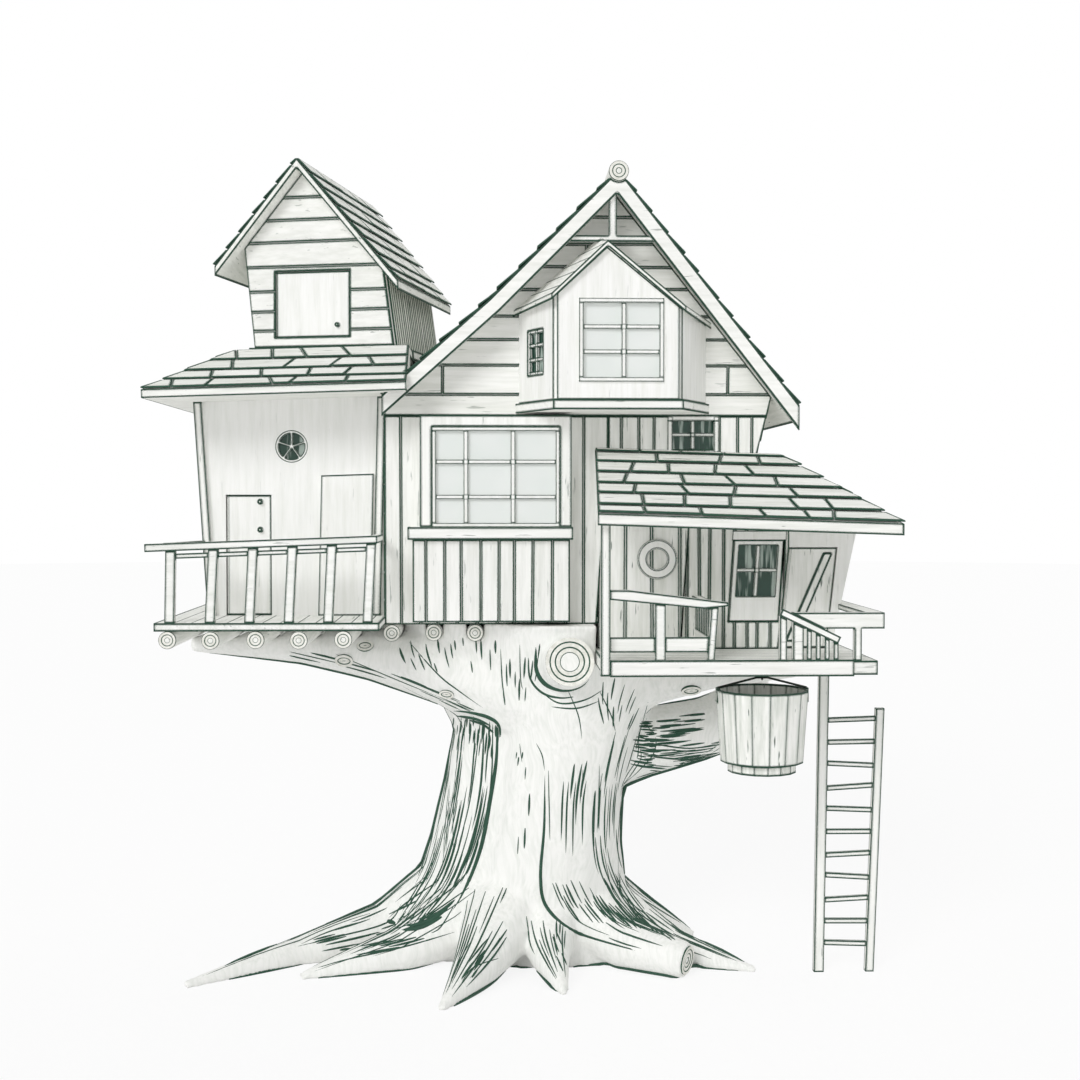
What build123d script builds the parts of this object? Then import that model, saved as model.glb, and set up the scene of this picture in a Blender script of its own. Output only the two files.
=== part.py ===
from build123d import *
import math
import os

os.makedirs("parts", exist_ok=True)

# A crooked timber tree house on the trunk of a broad old tree.
# Millimetres. The origin is on the ground under the middle of the trunk.
# +Z is up, +X is to the right of someone who faces the front, and +Y runs to the back.

# Levels above the ground
floor_level = 4180
floor_thickness = 90
porch_floor_level = 3800
porch_deck_thickness = 150
attic_floor_level = 6560
attic_floor_thickness = 80

# Walls
wall_thickness = 100
house_front = -1000
house_back = 2400
house_left = -1790
house_corner = 640
house_upper_right = 2600
house_upper_lean = 180
storey_split = 6450
porch_wall_top = 5960
cabin_front = -800
cabin_back = 1900
cabin_left_foot = -3780
cabin_left_head = -3930
cabin_eave_level = 6610
cabin_right_level = 6680

# Main roof, its upper surface read as x and z from the left eave to the right eave
roof_thickness = 110
roof_overhang = 400
left_eave = (-1790, 6650)
left_kink = (-600, 7710)
apex = (817, 9130)
right_eave = (2830, 6550)

# Clearances
door_clearance = 8
glass_clearance = 2
curved_clearance = 0.3


def front_plate(outline, front, thickness):
    """Plate cut to an outline of x and z, with its face at y = front and its back behind it."""
    face = make_face(Polyline(*[(x, front, z) for x, z in outline], close=True))
    return extrude(face, thickness, dir=(0, 1, 0))


def side_plate(outline, left, thickness):
    """Plate cut to an outline of y and z, running from x = left to the right."""
    face = make_face(Polyline(*[(left, y, z) for y, z in outline], close=True))
    return extrude(face, thickness, dir=(1, 0, 0))


def flat_plate(outline, bottom, thickness):
    """Plate cut to an outline of x and y, lying on z = bottom."""
    face = make_face(Polyline(*[(x, y, bottom) for x, y in outline], close=True))
    return extrude(face, thickness, dir=(0, 0, 1))


def slope_slab(corners, drop):
    """Roof slope through corners that lie in one plane, as thick as drop measured straight down."""
    face = make_face(Polyline(*corners, close=True))
    return extrude(face, drop, dir=(0, 0, -1))


def block(left, right, front, back, bottom, top):
    """Squared block between six planes."""
    middle = ((left + right) / 2, (front + back) / 2, (bottom + top) / 2)
    return Pos(*middle) * Box(right - left, back - front, top - bottom)


def bar(start, end, width, depth):
    """Squared timber from start to end. Width is seen from the front, depth runs to the back."""
    path = Vector(*end) - Vector(*start)
    across = path.cross(Vector(0, 1, 0))
    if across.length < 0.001 * path.length:
        across = Vector(1, 0, 0)
    plane = Plane(origin=start, x_dir=across, z_dir=path)
    return extrude(plane * Rectangle(width, depth), path.length)


def pole(start, end, start_radius, end_radius):
    """Round timber that may taper from start to end."""
    path = Vector(*end) - Vector(*start)
    plane = Plane(origin=start, z_dir=path)
    if start_radius == end_radius:
        return plane * Cylinder(start_radius, path.length, align=(Align.CENTER, Align.CENTER, Align.MIN))
    return plane * Cone(start_radius, end_radius, path.length, align=(Align.CENTER, Align.CENTER, Align.MIN))


def many_sided(half_width, half_depth, sides):
    """Flat-sided ring section, as an adze leaves a log."""
    corners = []
    for number in range(sides):
        turn = 2 * math.pi * (number + 0.5) / sides
        corners.append((half_width * math.cos(turn), half_depth * math.sin(turn)))
    return Polygon(*corners, align=None)


def limb(route, radii, flatness=1.0):
    """Tapering branch or root lofted through round sections. Flatness stretches it sideways."""
    centres = [Vector(*point) for point in route]
    sections = []
    for place, radius in enumerate(radii):
        before = centres[max(place - 1, 0)]
        after = centres[min(place + 1, len(centres) - 1)]
        along = after - before
        across = along.cross(Vector(0, 0, 1))
        plane = Plane(origin=centres[place], x_dir=across, z_dir=along)
        sections.append(plane * many_sided(radius * flatness, radius, limb_sides))
    return loft(sections, ruled=True)


def height_on(line, x):
    """Height of a line of x and z points above or below a given x."""
    for (x0, z0), (x1, z1) in zip(line, line[1:]):
        if x0 <= x <= x1:
            return z0 + (z1 - z0) * (x - x0) / (x1 - x0)
    raise ValueError("x is beyond the line")


def line_between(line, x_from, x_to):
    """The stretch of a line of x and z points that lies between two values of x."""
    inner = [point for point in line if x_from < point[0] < x_to]
    return [(x_from, height_on(line, x_from))] + inner + [(x_to, height_on(line, x_to))]


def lowered(line, thickness):
    """The line of x and z points that runs parallel underneath, thickness away."""
    normals = []
    for (x0, z0), (x1, z1) in zip(line, line[1:]):
        length = math.hypot(x1 - x0, z1 - z0)
        normals.append(((z1 - z0) / length, -(x1 - x0) / length))
    result = []
    for place, (x, z) in enumerate(line):
        if place in (0, len(line) - 1):
            # The two ends are cut plumb, so the lower line ends straight below the upper one.
            nx, nz = normals[0] if place == 0 else normals[-1]
            result.append((x, z + thickness / nz))
        else:
            (ax, az), (bx, bz) = normals[place - 1], normals[place]
            scale = thickness / (1 + ax * bx + az * bz)
            result.append((x + scale * (ax + bx), z + scale * (az + bz)))
    return result


def save(name, *solids):
    """Write one named piece, made of one or more solids that don't touch."""
    found = []
    for solid in solids:
        found.extend(solid.solids())
    shape = found[0] if len(found) == 1 else Compound(children=found)
    shape.label = name
    export_step(shape, f"parts/{name}.step")
    return shape


floor_bottom = floor_level - floor_thickness
porch_deck_bottom = porch_floor_level - porch_deck_thickness
attic_floor_bottom = attic_floor_level - attic_floor_thickness
inside_front = house_front + wall_thickness
inside_back = house_back - wall_thickness
inside_left = house_left + wall_thickness

# Main roof line and its underside
roof_line = [left_eave, left_kink, apex, right_eave]
roof_underside = lowered(roof_line, roof_thickness)
gable_front = house_front - roof_overhang
gable_back = house_back + roof_overhang

# Log joists that carry the left deck and the main floor
joist_radius = 95
joist_spacing = 470
joist_count = 10
joist_first = -4060
joist_level = floor_bottom - joist_radius
deck_left = -4200
deck_front = -1850
joist_setback = 60
joist_back = 1800

joists = []
for number in range(joist_count):
    joist_x = joist_first + number * joist_spacing
    under_cabin = joist_x < house_left
    joist_start = (deck_front if under_cabin else house_front) - joist_setback * (number % 2) + 20
    joists.append(
        pole(
            (joist_x, joist_start, joist_level),
            (joist_x, joist_back, joist_level),
            joist_radius,
            joist_radius,
        )
    )
save("floor_joists", *joists)

# Left deck, which is the balcony in front and the floor of the left cabin behind
left_deck = block(deck_left, house_left, deck_front, cabin_back, floor_bottom, floor_level)

# Floor of the main house
main_floor = block(inside_left, house_corner, inside_front, inside_back, floor_bottom, floor_level)
save("main_floor", main_floor)

# Porch deck, which is also the floor of the porch cabin
porch_left = 590
# The right end of the porch follows its door: the jamb beside it, the leaning corner and the deck's reach.
porch_door_foot = 2690
porch_door_width = 560
porch_corner_width = 50
porch_foot_right = porch_door_foot + porch_door_width + porch_corner_width
porch_corner_lean = 300
porch_head_right = porch_foot_right + porch_corner_lean
porch_deck_reach = 200
porch_right = porch_foot_right + porch_deck_reach
porch_front = -2300
porch_deck = block(porch_left, porch_right, porch_front, house_back, porch_deck_bottom, porch_floor_level)

# Trunk with its limbs, roots and one sawn stub. The crown is cut to seat the floors and joists.
limb_sides = 12
column_sides = 20
# Each column has sections of height, middle x, middle y, half width and half depth.
front_column = [
    (0, 70, 520, 1600, 1060),
    (340, 80, 400, 1250, 980),
    (800, 80, 220, 990, 860),
    (1400, 130, 40, 850, 800),
    (2100, 210, -90, 780, 780),
    (2740, 330, -120, 860, 840),
    (3300, 380, -60, 1080, 1000),
    (4150, 330, 0, 1480, 1350),
]
rear_column = [
    (0, -760, 800, 1350, 1100),
    (340, -690, 700, 1100, 1000),
    (800, -620, 560, 900, 860),
    (1400, -540, 420, 780, 800),
    (2100, -430, 320, 730, 780),
    (2740, -330, 260, 720, 780),
    (3300, -360, 200, 960, 900),
    (4150, -500, 150, 1300, 1200),
]


def column(sections):
    """One lobe of the trunk, lofted straight from section to section."""
    rings = []
    for height, middle_x, middle_y, half_width, half_depth in sections:
        rings.append(Pos(middle_x, middle_y, height) * many_sided(half_width, half_depth, column_sides))
    return loft(rings, ruled=True)


trunk_body = column(front_column) + column(rear_column)

limbs = [
    # left limb under the deck
    limb(
        [(-100, 0, 3150), (-1100, -200, 3540), (-1980, -300, 3690), (-2800, -300, 3775), (-4100, -300, 3830)],
        [700, 480, 310, 200, 110],
        1.3,
    ),
    # left limb at the back
    limb(
        [(0, 300, 3100), (-1300, 800, 3600), (-2500, 1050, 3790), (-3700, 1150, 3840)],
        [600, 330, 180, 100],
        1.3,
    ),
    # right limb against the porch deck
    limb(
        [(300, -200, 3000), (1300, -450, 3420), (2000, -600, 3500), (3000, -700, 3570)],
        [600, 330, 210, 130],
    ),
    # thick low limb on the right, which turns up to the deck at the back
    limb(
        [(200, 100, 2250), (1200, 60, 2560), (2050, 120, 2740), (2560, 420, 3050), (2700, 800, 3700)],
        [560, 420, 370, 300, 250],
    ),
    # short limbs at the back that carry the floors
    limb([(0, 400, 2900), (-300, 1300, 3650), (-400, 2000, 4150)], [600, 400, 330]),
    limb([(400, 500, 2900), (1200, 1200, 3450), (1700, 1700, 3750)], [560, 330, 250]),
]
roots = [
    # long root that creeps out to the left
    limb([(-700, 400, 800), (-1900, 200, 260), (-2900, -200, 120), (-4050, -1080, 15)], [640, 340, 180, 60]),
    limb([(-500, 100, 680), (-1700, -420, 190), (-2780, -810, 15)], [580, 260, 60]),
    # two pointed roots in front
    limb([(-350, -100, 640), (-760, -1150, 230), (-1130, -1960, 15)], [560, 270, 45]),
    limb([(60, -100, 600), (90, -900, 230), (225, -1500, 15)], [500, 230, 45]),
    # right root with a sawn end, and the one beyond it
    limb([(300, 200, 700), (1000, -560, 300), (1660, -960, 210)], [620, 300, 205]),
    limb([(600, 200, 520), (1600, -380, 170), (2500, -730, 15)], [520, 220, 45]),
    # roots at the back
    limb([(500, 500, 600), (1300, 500, 250), (1950, 700, 20)], [600, 300, 60]),
    limb([(-700, 900, 600), (-1500, 1700, 220), (-2100, 2300, 15)], [560, 260, 55]),
    limb([(300, 900, 600), (1000, 1700, 220), (1500, 2300, 15)], [560, 260, 55]),
]
stub = pole((260, -500, 3560), (285, -1400, 3700), 340, 280)
tree = trunk_body
for piece in limbs + roots + [stub]:
    tree = tree + piece
tree = tree & block(-5000, 4000, -3000, 3500, 0, floor_bottom)
tree = tree - block(porch_left, 4000, -3000, 3500, porch_deck_bottom, 5000)
for joist in joists:
    # Each log lies in a square notch.
    ends = joist.bounding_box()
    tree = tree - block(
        ends.min.X - 1, ends.max.X + 1, ends.min.Y - 1, ends.max.Y + 1, ends.min.Z, floor_bottom + 1,
    )
save("trunk", *sorted(tree.solids(), key=lambda piece: -piece.volume)[:1])

# Left cabin walls. The front wall leans out to the left as it rises.
cabin_front_inside = cabin_front + wall_thickness
cabin_back_inside = cabin_back - wall_thickness
cabin_roof_left = -4350
cabin_rise = (cabin_right_level - cabin_eave_level) / (house_left - cabin_left_head)
cabin_top_line = [
    (cabin_roof_left, cabin_eave_level + cabin_rise * (cabin_roof_left - cabin_left_head)),
    (house_left, cabin_right_level),
]
balcony_door_left = -3610
balcony_door_width = 520
balcony_door_top = 5560
balcony_door_right = balcony_door_left + balcony_door_width



round_window_x = -2860
round_window_z = 6110
round_window_radius = 185
cabin_wall_right = front_plate(
    [
        (balcony_door_right, floor_level),
        (house_left, floor_level),
        (house_left, cabin_right_level),
        (balcony_door_right, height_on(cabin_top_line, balcony_door_right)),
    ],
    cabin_front,
    wall_thickness,
)
window_place = Pos(round_window_x, cabin_front + wall_thickness / 2, round_window_z) * Rot(90, 0, 0)
window_hole = window_place * Cylinder(
    round_window_radius, 2 * wall_thickness
)
cabin_wall_right = cabin_wall_right - window_hole
cabin_door_jamb = front_plate(
    [
        (cabin_left_foot, floor_level),
        (balcony_door_left, floor_level),
        (balcony_door_left, height_on(cabin_top_line, balcony_door_left)),
        (cabin_left_head, cabin_eave_level),
    ],
    cabin_front,
    wall_thickness,
)
cabin_door_head = front_plate(
    [
        (balcony_door_left, balcony_door_top),
        (balcony_door_right, balcony_door_top),
        (balcony_door_right, height_on(cabin_top_line, balcony_door_right)),
        (balcony_door_left, height_on(cabin_top_line, balcony_door_left)),
    ],
    cabin_front,
    wall_thickness,
)
save("cabin_front_wall", cabin_wall_right)

cabin_side_wall = front_plate(
    [
        (cabin_left_foot, floor_level),
        (cabin_left_foot + wall_thickness, floor_level),
        (cabin_left_head + wall_thickness, height_on(cabin_top_line, cabin_left_head + wall_thickness)),
        (cabin_left_head, cabin_eave_level),
    ],
    cabin_front_inside,
    cabin_back_inside - cabin_front_inside,
)
save("cabin_left_wall", cabin_side_wall)
cabin_rear_wall = front_plate(
    [
        (cabin_left_foot, floor_level),
        (house_left, floor_level),
        (house_left, cabin_right_level),
        (cabin_left_head, cabin_eave_level),
    ],
    cabin_back_inside,
    wall_thickness,
)
save("cabin_back_wall", cabin_rear_wall)

# Squared posts on the front corners of the left cabin
corner_post_width = 90
corner_post_depth = 60
left_corner_post = front_plate(
    [
        (cabin_left_foot - corner_post_width / 3, floor_level),
        (cabin_left_foot + corner_post_width * 2 / 3, floor_level),
        (
            cabin_left_head + corner_post_width * 2 / 3,
            height_on(cabin_top_line, cabin_left_head + corner_post_width * 2 / 3),
        ),
        (
            cabin_left_head - corner_post_width / 3,
            height_on(cabin_top_line, cabin_left_head - corner_post_width / 3),
        ),
    ],
    cabin_front - corner_post_depth,
    corner_post_depth,
)
right_corner_post = front_plate(
    [
        (house_left - corner_post_width - 60, floor_level),
        (house_left - 60, floor_level),
        (house_left, cabin_right_level),
        (house_left - corner_post_width, height_on(cabin_top_line, house_left - corner_post_width)),
    ],
    cabin_front - corner_post_depth,
    corner_post_depth,
)
save("cabin_corner_posts", left_corner_post, right_corner_post)

# Doors turn on a round heel with a pin at each end, which sits in a hole in the floor and the head
door_thickness = 50
pin_radius = 10
pin_depth = 30
knob_neck_radius = 12
knob_radius = 28
door_setback = 25


def pivot_door(foot, lean, width, height, foot_clearance):
    """Door leaf with its round heel and two pins, between a foot point and a head above it.

    Foot is the bottom of the heel's middle line. Lean is the sideways run of that line for each unit
    of height.
    """
    x, y, z = foot

    def along(level):
        return (x + lean * level, y, z + level)

    bottom = foot_clearance
    top = height - door_clearance
    leaf = front_plate(
        [
            (x + lean * bottom, z + bottom),
            (x + lean * bottom + width, z + bottom),
            (x + lean * top + width, z + top),
            (x + lean * top, z + top),
        ],
        y - door_thickness / 2,
        door_thickness,
    )
    heel = pole(along(bottom - 20), along(top + 20), door_thickness / 2, door_thickness / 2)
    heel = heel & block(x - 500, x + 1000, y - 500, y + 500, z + bottom, z + top)
    pins = pole(along(-pin_depth), along(height + pin_depth), pin_radius, pin_radius)
    return leaf + heel + pins


def pin_holes(foot, lean, height):
    """Space for the two pins of a door, a little longer and wider than they are."""
    x, y, z = foot
    reach = pin_depth + 1
    start = (x - lean * reach, y, z - reach)
    end = (x + lean * (height + reach), y, z + height + reach)
    return pole(start, end, pin_radius + curved_clearance, pin_radius + curved_clearance)


# Balcony door, hung on its left edge and opening inwards, with two round knobs
balcony_door_y = cabin_front + wall_thickness - door_setback - door_thickness / 2
balcony_foot = (balcony_door_left + door_clearance + door_thickness / 2, balcony_door_y, floor_level)
balcony_height = balcony_door_top - floor_level
balcony_leaf = pivot_door(
    balcony_foot,
    0,
    balcony_door_width - 2 * door_clearance - door_thickness / 2,
    balcony_height,
    door_clearance,
)
knob_x = balcony_door_right - 130
for knob_level in (5160, 5480):
    knob_start = (knob_x, balcony_door_y, knob_level)
    knob_end = (knob_x, balcony_door_y - door_thickness / 2 - 45, knob_level)
    balcony_leaf = balcony_leaf + pole(knob_start, knob_end, knob_neck_radius, knob_radius)
save("balcony_door", balcony_leaf)
balcony_holes = pin_holes(balcony_foot, 0, balcony_height)
left_deck = left_deck - balcony_holes
save("left_deck", left_deck)

# Plain boarded panel in the right half of the cabin front
panel_thickness = 40
panel = front_plate(
    [(-2560, floor_level), (-1960, floor_level), (-1925, 5800), (-2520, 5780)],
    cabin_front - panel_thickness,
    panel_thickness,
)
save("cabin_panel", panel)

# Round window with a star of bars
round_frame_depth = 40
ring_face = Circle(round_window_radius) - Circle(round_window_radius - 35)
bar_width = 26
star = ring_face
for turn in (0, 72, 144, 216, 288):
    spoke = Rot(0, 0, turn) * Pos(0, round_window_radius / 2 - 10, 0) * Rectangle(
        bar_width, round_window_radius - 20,
    )
    star = star + spoke
star_frame = extrude(Plane(
    origin=(round_window_x, cabin_front + 10, round_window_z), x_dir=(1, 0, 0), z_dir=(0, -1, 0),
)
                     * star, -round_frame_depth)

# Glass. Every pane is a thin sheet held in its frame.
glass_thickness = 6
panes = []
round_pane = Pos(round_window_x, cabin_front + 60, round_window_z) * Rot(90, 0, 0) * Cylinder(
    round_window_radius, glass_thickness
)
panes.append(round_pane)

# Hipped roof of the left cabin with a flat top, tilted a little up to the right
cabin_roof_front = -1700
cabin_roof_back = 2700
cabin_roof_top_left = -3470
cabin_roof_top_front = -800
cabin_roof_top_back = 1850
cabin_roof_top_level = 7170
cabin_roof_soffit = 6600
fascia_height = 90
cabin_roof_shell = 100
cabin_roof_right = -1500
cabin_roof_tilt = -math.degrees(math.atan(cabin_rise))


def cabin_roof_form(inset):
    """Solid form of the hipped roof, drawn smaller on all sides by inset."""
    across = front_plate(
        [
            (cabin_roof_left + inset, cabin_roof_soffit),
            (cabin_roof_left + inset, cabin_roof_soffit + fascia_height),
            (cabin_roof_top_left + inset, cabin_roof_top_level - inset),
            (cabin_roof_right, cabin_roof_top_level - inset),
            (cabin_roof_right, cabin_roof_soffit),
        ],
        cabin_roof_front,
        cabin_roof_back - cabin_roof_front,
    )
    along = side_plate(
        [
            (cabin_roof_front + inset, cabin_roof_soffit),
            (cabin_roof_front + inset, cabin_roof_soffit + fascia_height),
            (cabin_roof_top_front + inset, cabin_roof_top_level - inset),
            (cabin_roof_top_back - inset, cabin_roof_top_level - inset),
            (cabin_roof_back - inset, cabin_roof_soffit + fascia_height),
            (cabin_roof_back - inset, cabin_roof_soffit),
        ],
        cabin_roof_left,
        cabin_roof_right - cabin_roof_left,
    )
    return across & along


tilt_centre = (cabin_left_head, 0, cabin_eave_level)
tilt = Pos(*tilt_centre) * Rot(0, cabin_roof_tilt, 0) * Pos(*[-value for value in tilt_centre])
room_height = cabin_roof_top_level - cabin_roof_shell - cabin_roof_soffit
room_void = block(
    cabin_left_head + wall_thickness,
    cabin_roof_right + 100,
    cabin_front_inside,
    cabin_back_inside,
    cabin_roof_soffit - 50,
    cabin_roof_soffit + room_height,
)
cabin_roof = cabin_roof_form(0) - (cabin_roof_form(cabin_roof_shell) & room_void)
cabin_roof = tilt * (Pos(0, 0, cabin_eave_level - cabin_roof_soffit) * cabin_roof)
house_form = front_plate(
    [(house_left, 0)] + line_between(roof_line, house_left, apex[0]) + [(apex[0], 0)],
    gable_front - 100,
    gable_back - gable_front + 200,
)
cabin_roof = cabin_roof - house_form
save("cabin_roof", cabin_roof)

# Small hut on the cabin roof, turned so that its right side shows
hut_turn = -12.8
hut_corner = (-3340, -350)
hut_floor_level = 7270
hut_width = 1690
hut_depth = 2000
hut_wall = 70
hut_lean = 120
hut_apex = (600, 2130)
hut_left_eave = (-400, 930)
hut_right_eave = (1800, 710)
hut_roof_thickness = 70
hut_overhang = 220
hut_place = Pos(hut_corner[0], hut_corner[1], hut_floor_level) * Rot(0, 0, hut_turn)
hut_roof_line = [hut_left_eave, hut_apex, hut_right_eave]
hut_underside = lowered(hut_roof_line, hut_roof_thickness)


def hut_gable(front):
    """Gable wall of the hut, which leans to the left as it rises."""
    left_head = -hut_lean
    right_head = hut_width - hut_lean
    outline = [(0, 0), (hut_width, 0)]
    outline += reversed(line_between(hut_underside, left_head, right_head))
    return front_plate(outline, front, hut_wall)


hut_door_left = 262
hut_door_width = 898
hut_door_sill = 117
hut_door_top = 875
hut_opening = block(
    hut_door_left, hut_door_left + hut_door_width, -hut_wall, 2 * hut_wall, hut_door_sill, hut_door_top
)
hut_front = hut_gable(0) - hut_opening
hut_rear = hut_gable(hut_depth - hut_wall)
save("hut_gable_walls", hut_place * hut_front, hut_place * hut_rear)


def hut_side(foot, head):
    """Side wall of the hut between its gable walls."""
    outline = [
        (foot, 0),
        (foot + hut_wall, 0),
        (head + hut_wall, height_on(hut_underside, head + hut_wall)),
        (head, height_on(hut_underside, head)),
    ]
    return front_plate(outline, hut_wall, hut_depth - 2 * hut_wall)


save(
    "hut_side_walls",
    hut_place * hut_side(0, -hut_lean),
    hut_place * hut_side(hut_width - hut_wall, hut_width - hut_lean - hut_wall),
)

# Floor of the hut with a sill that stands a little proud, scribed to the sloping roof below
hut_sill_proud = 50
hut_sill_height = 110
hut_floor = hut_place * block(
    -hut_sill_proud,
    hut_width + hut_sill_proud,
    -hut_sill_proud,
    hut_depth + hut_sill_proud,
    -hut_sill_height,
    0,
)
hut_floor = hut_floor - cabin_roof - house_form
save("hut_floor", *sorted(hut_floor.solids(), key=lambda piece: -piece.volume)[:1])

# Boarded door of the hut with its knob. It is an upper door and stays shut.
hut_door = block(
    hut_door_left + door_clearance,
    hut_door_left + hut_door_width - door_clearance,
    10,
    10 + 40,
    hut_door_sill,
    hut_door_top - door_clearance,
)
hut_knob = pole((1010, 15, 250), (1010, -35, 250), 12, 26)
save("hut_door", hut_place * (hut_door + hut_knob))


def hut_slope(high, low, ridge_reach):
    """One slope of the hut roof. The ridge runs further back than the eave."""
    band = front_plate(
        [high, low, line_end(low), line_end(high)], -hut_overhang, hut_depth + hut_overhang + ridge_reach
    )
    return band


def line_end(point):
    """Point of the roof's underside that lies below a point of its upper line."""
    return hut_underside[hut_roof_line.index(point)]


ridge_reach = 650
eave_reach = 160
hut_left_slope = hut_slope(hut_apex, hut_left_eave, ridge_reach)
hut_right_slope = hut_slope(hut_apex, hut_right_eave, ridge_reach)
back_cut_right = flat_plate(
    [
        (hut_apex[0], hut_depth + ridge_reach),
        (hut_right_eave[0] + 10, hut_depth + eave_reach),
        (hut_right_eave[0] + 10, hut_depth + 2 * ridge_reach),
        (hut_apex[0], hut_depth + 2 * ridge_reach),
    ],
    0,
    3000,
)
back_cut_left = flat_plate(
    [
        (hut_apex[0], hut_depth + ridge_reach),
        (hut_left_eave[0] - 10, hut_depth + eave_reach),
        (hut_left_eave[0] - 10, hut_depth + 2 * ridge_reach),
        (hut_apex[0], hut_depth + 2 * ridge_reach),
    ],
    0,
    3000,
)
save("hut_roof", hut_place * ((hut_left_slope - back_cut_left) + (hut_right_slope - back_cut_right)))

# Main house, lower storey: front wall with the opening of the bay window
bay_left = -1375
bay_right = 307
bay_bottom = 5200
bay_top = 6440
bay_depth = 350
bay_board = 60
bay_frame_face = 130
opening_left = bay_left + bay_frame_face
opening_right = bay_right - bay_frame_face
opening_bottom = bay_bottom
opening_top = bay_top - bay_frame_face

house_front_wall = front_plate(
    [
        (house_left, floor_bottom),
        (house_corner - 30, floor_bottom),
        (house_corner + 100, porch_wall_top),
        (house_corner + 100, storey_split),
        (house_left, storey_split),
    ],
    house_front,
    wall_thickness,
)
house_front_wall = house_front_wall - block(
    opening_left, opening_right, house_front - 50, inside_front + 50, opening_bottom, opening_top
)
save("house_front_wall", house_front_wall)


def upper_right_at(z):
    """Outer face of the upper right wall, which leans out as it rises to the roof."""
    head = height_on(roof_underside, house_upper_right)
    share = (z - porch_wall_top) / (head - porch_wall_top)
    return house_upper_right - house_upper_lean * (1 - share)


# Strip of wall over the porch roof, with a small cross-barred window
small_window = (1460, 1950, 6075, 6400)
strip_wall = front_plate(
    [
        (house_corner + 100, porch_wall_top),
        (upper_right_at(porch_wall_top), porch_wall_top),
        (upper_right_at(storey_split), storey_split),
        (house_corner + 100, storey_split),
    ],
    house_front,
    wall_thickness,
)
strip_wall = strip_wall - block(
    small_window[0], small_window[1], house_front - 50, inside_front + 50, small_window[2], small_window[3]
)
save("house_strip_wall", strip_wall)

# Front gable, open behind the projecting window
oriel_front = -1800
oriel_left = 124
oriel_right = 1450
oriel_splay = 407
oriel_bottom = 6475
oriel_base_thickness = 110
oriel_floor = oriel_bottom + oriel_base_thickness
oriel_board = 80
gable_outline = [(house_left, storey_split)]
gable_outline += line_between(roof_underside, house_left, house_upper_right)
gable_outline += [(upper_right_at(storey_split), storey_split)]
oriel_opening_left = oriel_left - 250
oriel_opening_right = oriel_right + 250
oriel_opening_top = 7500
gable = front_plate(gable_outline, house_front, wall_thickness)
gable = gable - block(
    oriel_opening_left,
    oriel_opening_right,
    house_front - 50,
    inside_front + 50,
    oriel_floor,
    oriel_opening_top,
)
save("house_front_gable", gable)

# Back wall of the house over its whole height, and the side walls
house_back_wall = front_plate(
    [
        (house_left, floor_bottom),
        (house_corner, floor_bottom),
        (house_corner, porch_wall_top),
        (upper_right_at(porch_wall_top), porch_wall_top),
    ]
    + list(reversed(line_between(roof_underside, house_left, house_upper_right))),
    inside_back,
    wall_thickness,
)
back_window = (-1000, -200, 5000, 5900)
house_back_wall = house_back_wall - block(
    back_window[0], back_window[1], inside_back - 50, house_back + 50, back_window[2], back_window[3]
)
save("house_back_wall", house_back_wall)


def depth_wall(outline):
    """Wall along the depth of the house, from an outline of x and z."""
    return front_plate(outline, inside_front, inside_back - inside_front)


house_left_wall = depth_wall(
    [
        (house_left, floor_bottom),
        (inside_left, floor_bottom),
        (inside_left, height_on(roof_underside, inside_left)),
        (house_left, height_on(roof_underside, house_left)),
    ]
)
save("house_left_wall", house_left_wall)
house_right_wall = depth_wall(
    [
        (house_corner, porch_floor_level),
        (house_corner + wall_thickness, porch_floor_level),
        (house_corner + wall_thickness, attic_floor_bottom),
        (house_corner, attic_floor_bottom),
    ]
)
save("house_right_wall", house_right_wall)
upper_right_wall = depth_wall(
    [
        (upper_right_at(porch_wall_top) - wall_thickness, porch_wall_top),
        (upper_right_at(porch_wall_top), porch_wall_top),
        (house_upper_right, height_on(roof_underside, house_upper_right)),
        (house_upper_right - wall_thickness, height_on(roof_underside, house_upper_right - wall_thickness)),
    ]
)
save("house_upper_right_wall", upper_right_wall)

# Upper floor, which the gable window serves
attic_floor = depth_wall(
    [
        (inside_left, attic_floor_bottom),
        (house_upper_right, attic_floor_bottom),
        (house_upper_right, attic_floor_level),
        (inside_left, attic_floor_level),
    ]
)
attic_floor = attic_floor & front_plate(
    [
        (inside_left, 0),
        (upper_right_at(porch_wall_top) - wall_thickness, porch_wall_top),
        (house_upper_right - wall_thickness, height_on(roof_underside, house_upper_right - wall_thickness)),
        (inside_left, apex[1]),
    ],
    house_front,
    house_back - house_front,
)
save("upper_floor", attic_floor)

# Main roof: two slopes that meet at the ridge, the left one kicked out at its foot
ridge_log_radius = 110
ridge_log_level = apex[1] - 20
ridge_log = pole(
    (apex[0], gable_front - 90, ridge_log_level),
    (apex[0], gable_back + 90, ridge_log_level),
    ridge_log_radius,
    ridge_log_radius
)
left_band = roof_line[:3] + list(reversed(roof_underside[:3]))
right_band = roof_line[2:] + list(reversed(roof_underside[2:]))
roof_left = front_plate(left_band, gable_front, gable_back - gable_front) - ridge_log
roof_right = front_plate(right_band, gable_front, gable_back - gable_front) - ridge_log
save("main_roof_left", roof_left)
save("main_roof_right", roof_right)
save("ridge_log", ridge_log)

# Barge boards on the front and back edges of the main roof
barge_thickness = 55
barge_depth = 170
barge_line = lowered(roof_line, barge_depth)


def barge_boards(front):
    """Pair of boards along one gable edge, cut round the ridge log."""
    left = front_plate(roof_line[:3] + list(reversed(barge_line[:3])), front, barge_thickness) - ridge_log
    right = front_plate(roof_line[2:] + list(reversed(barge_line[2:])), front, barge_thickness) - ridge_log
    return left + right


save("barge_boards", barge_boards(gable_front - barge_thickness), barge_boards(gable_back))

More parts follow.
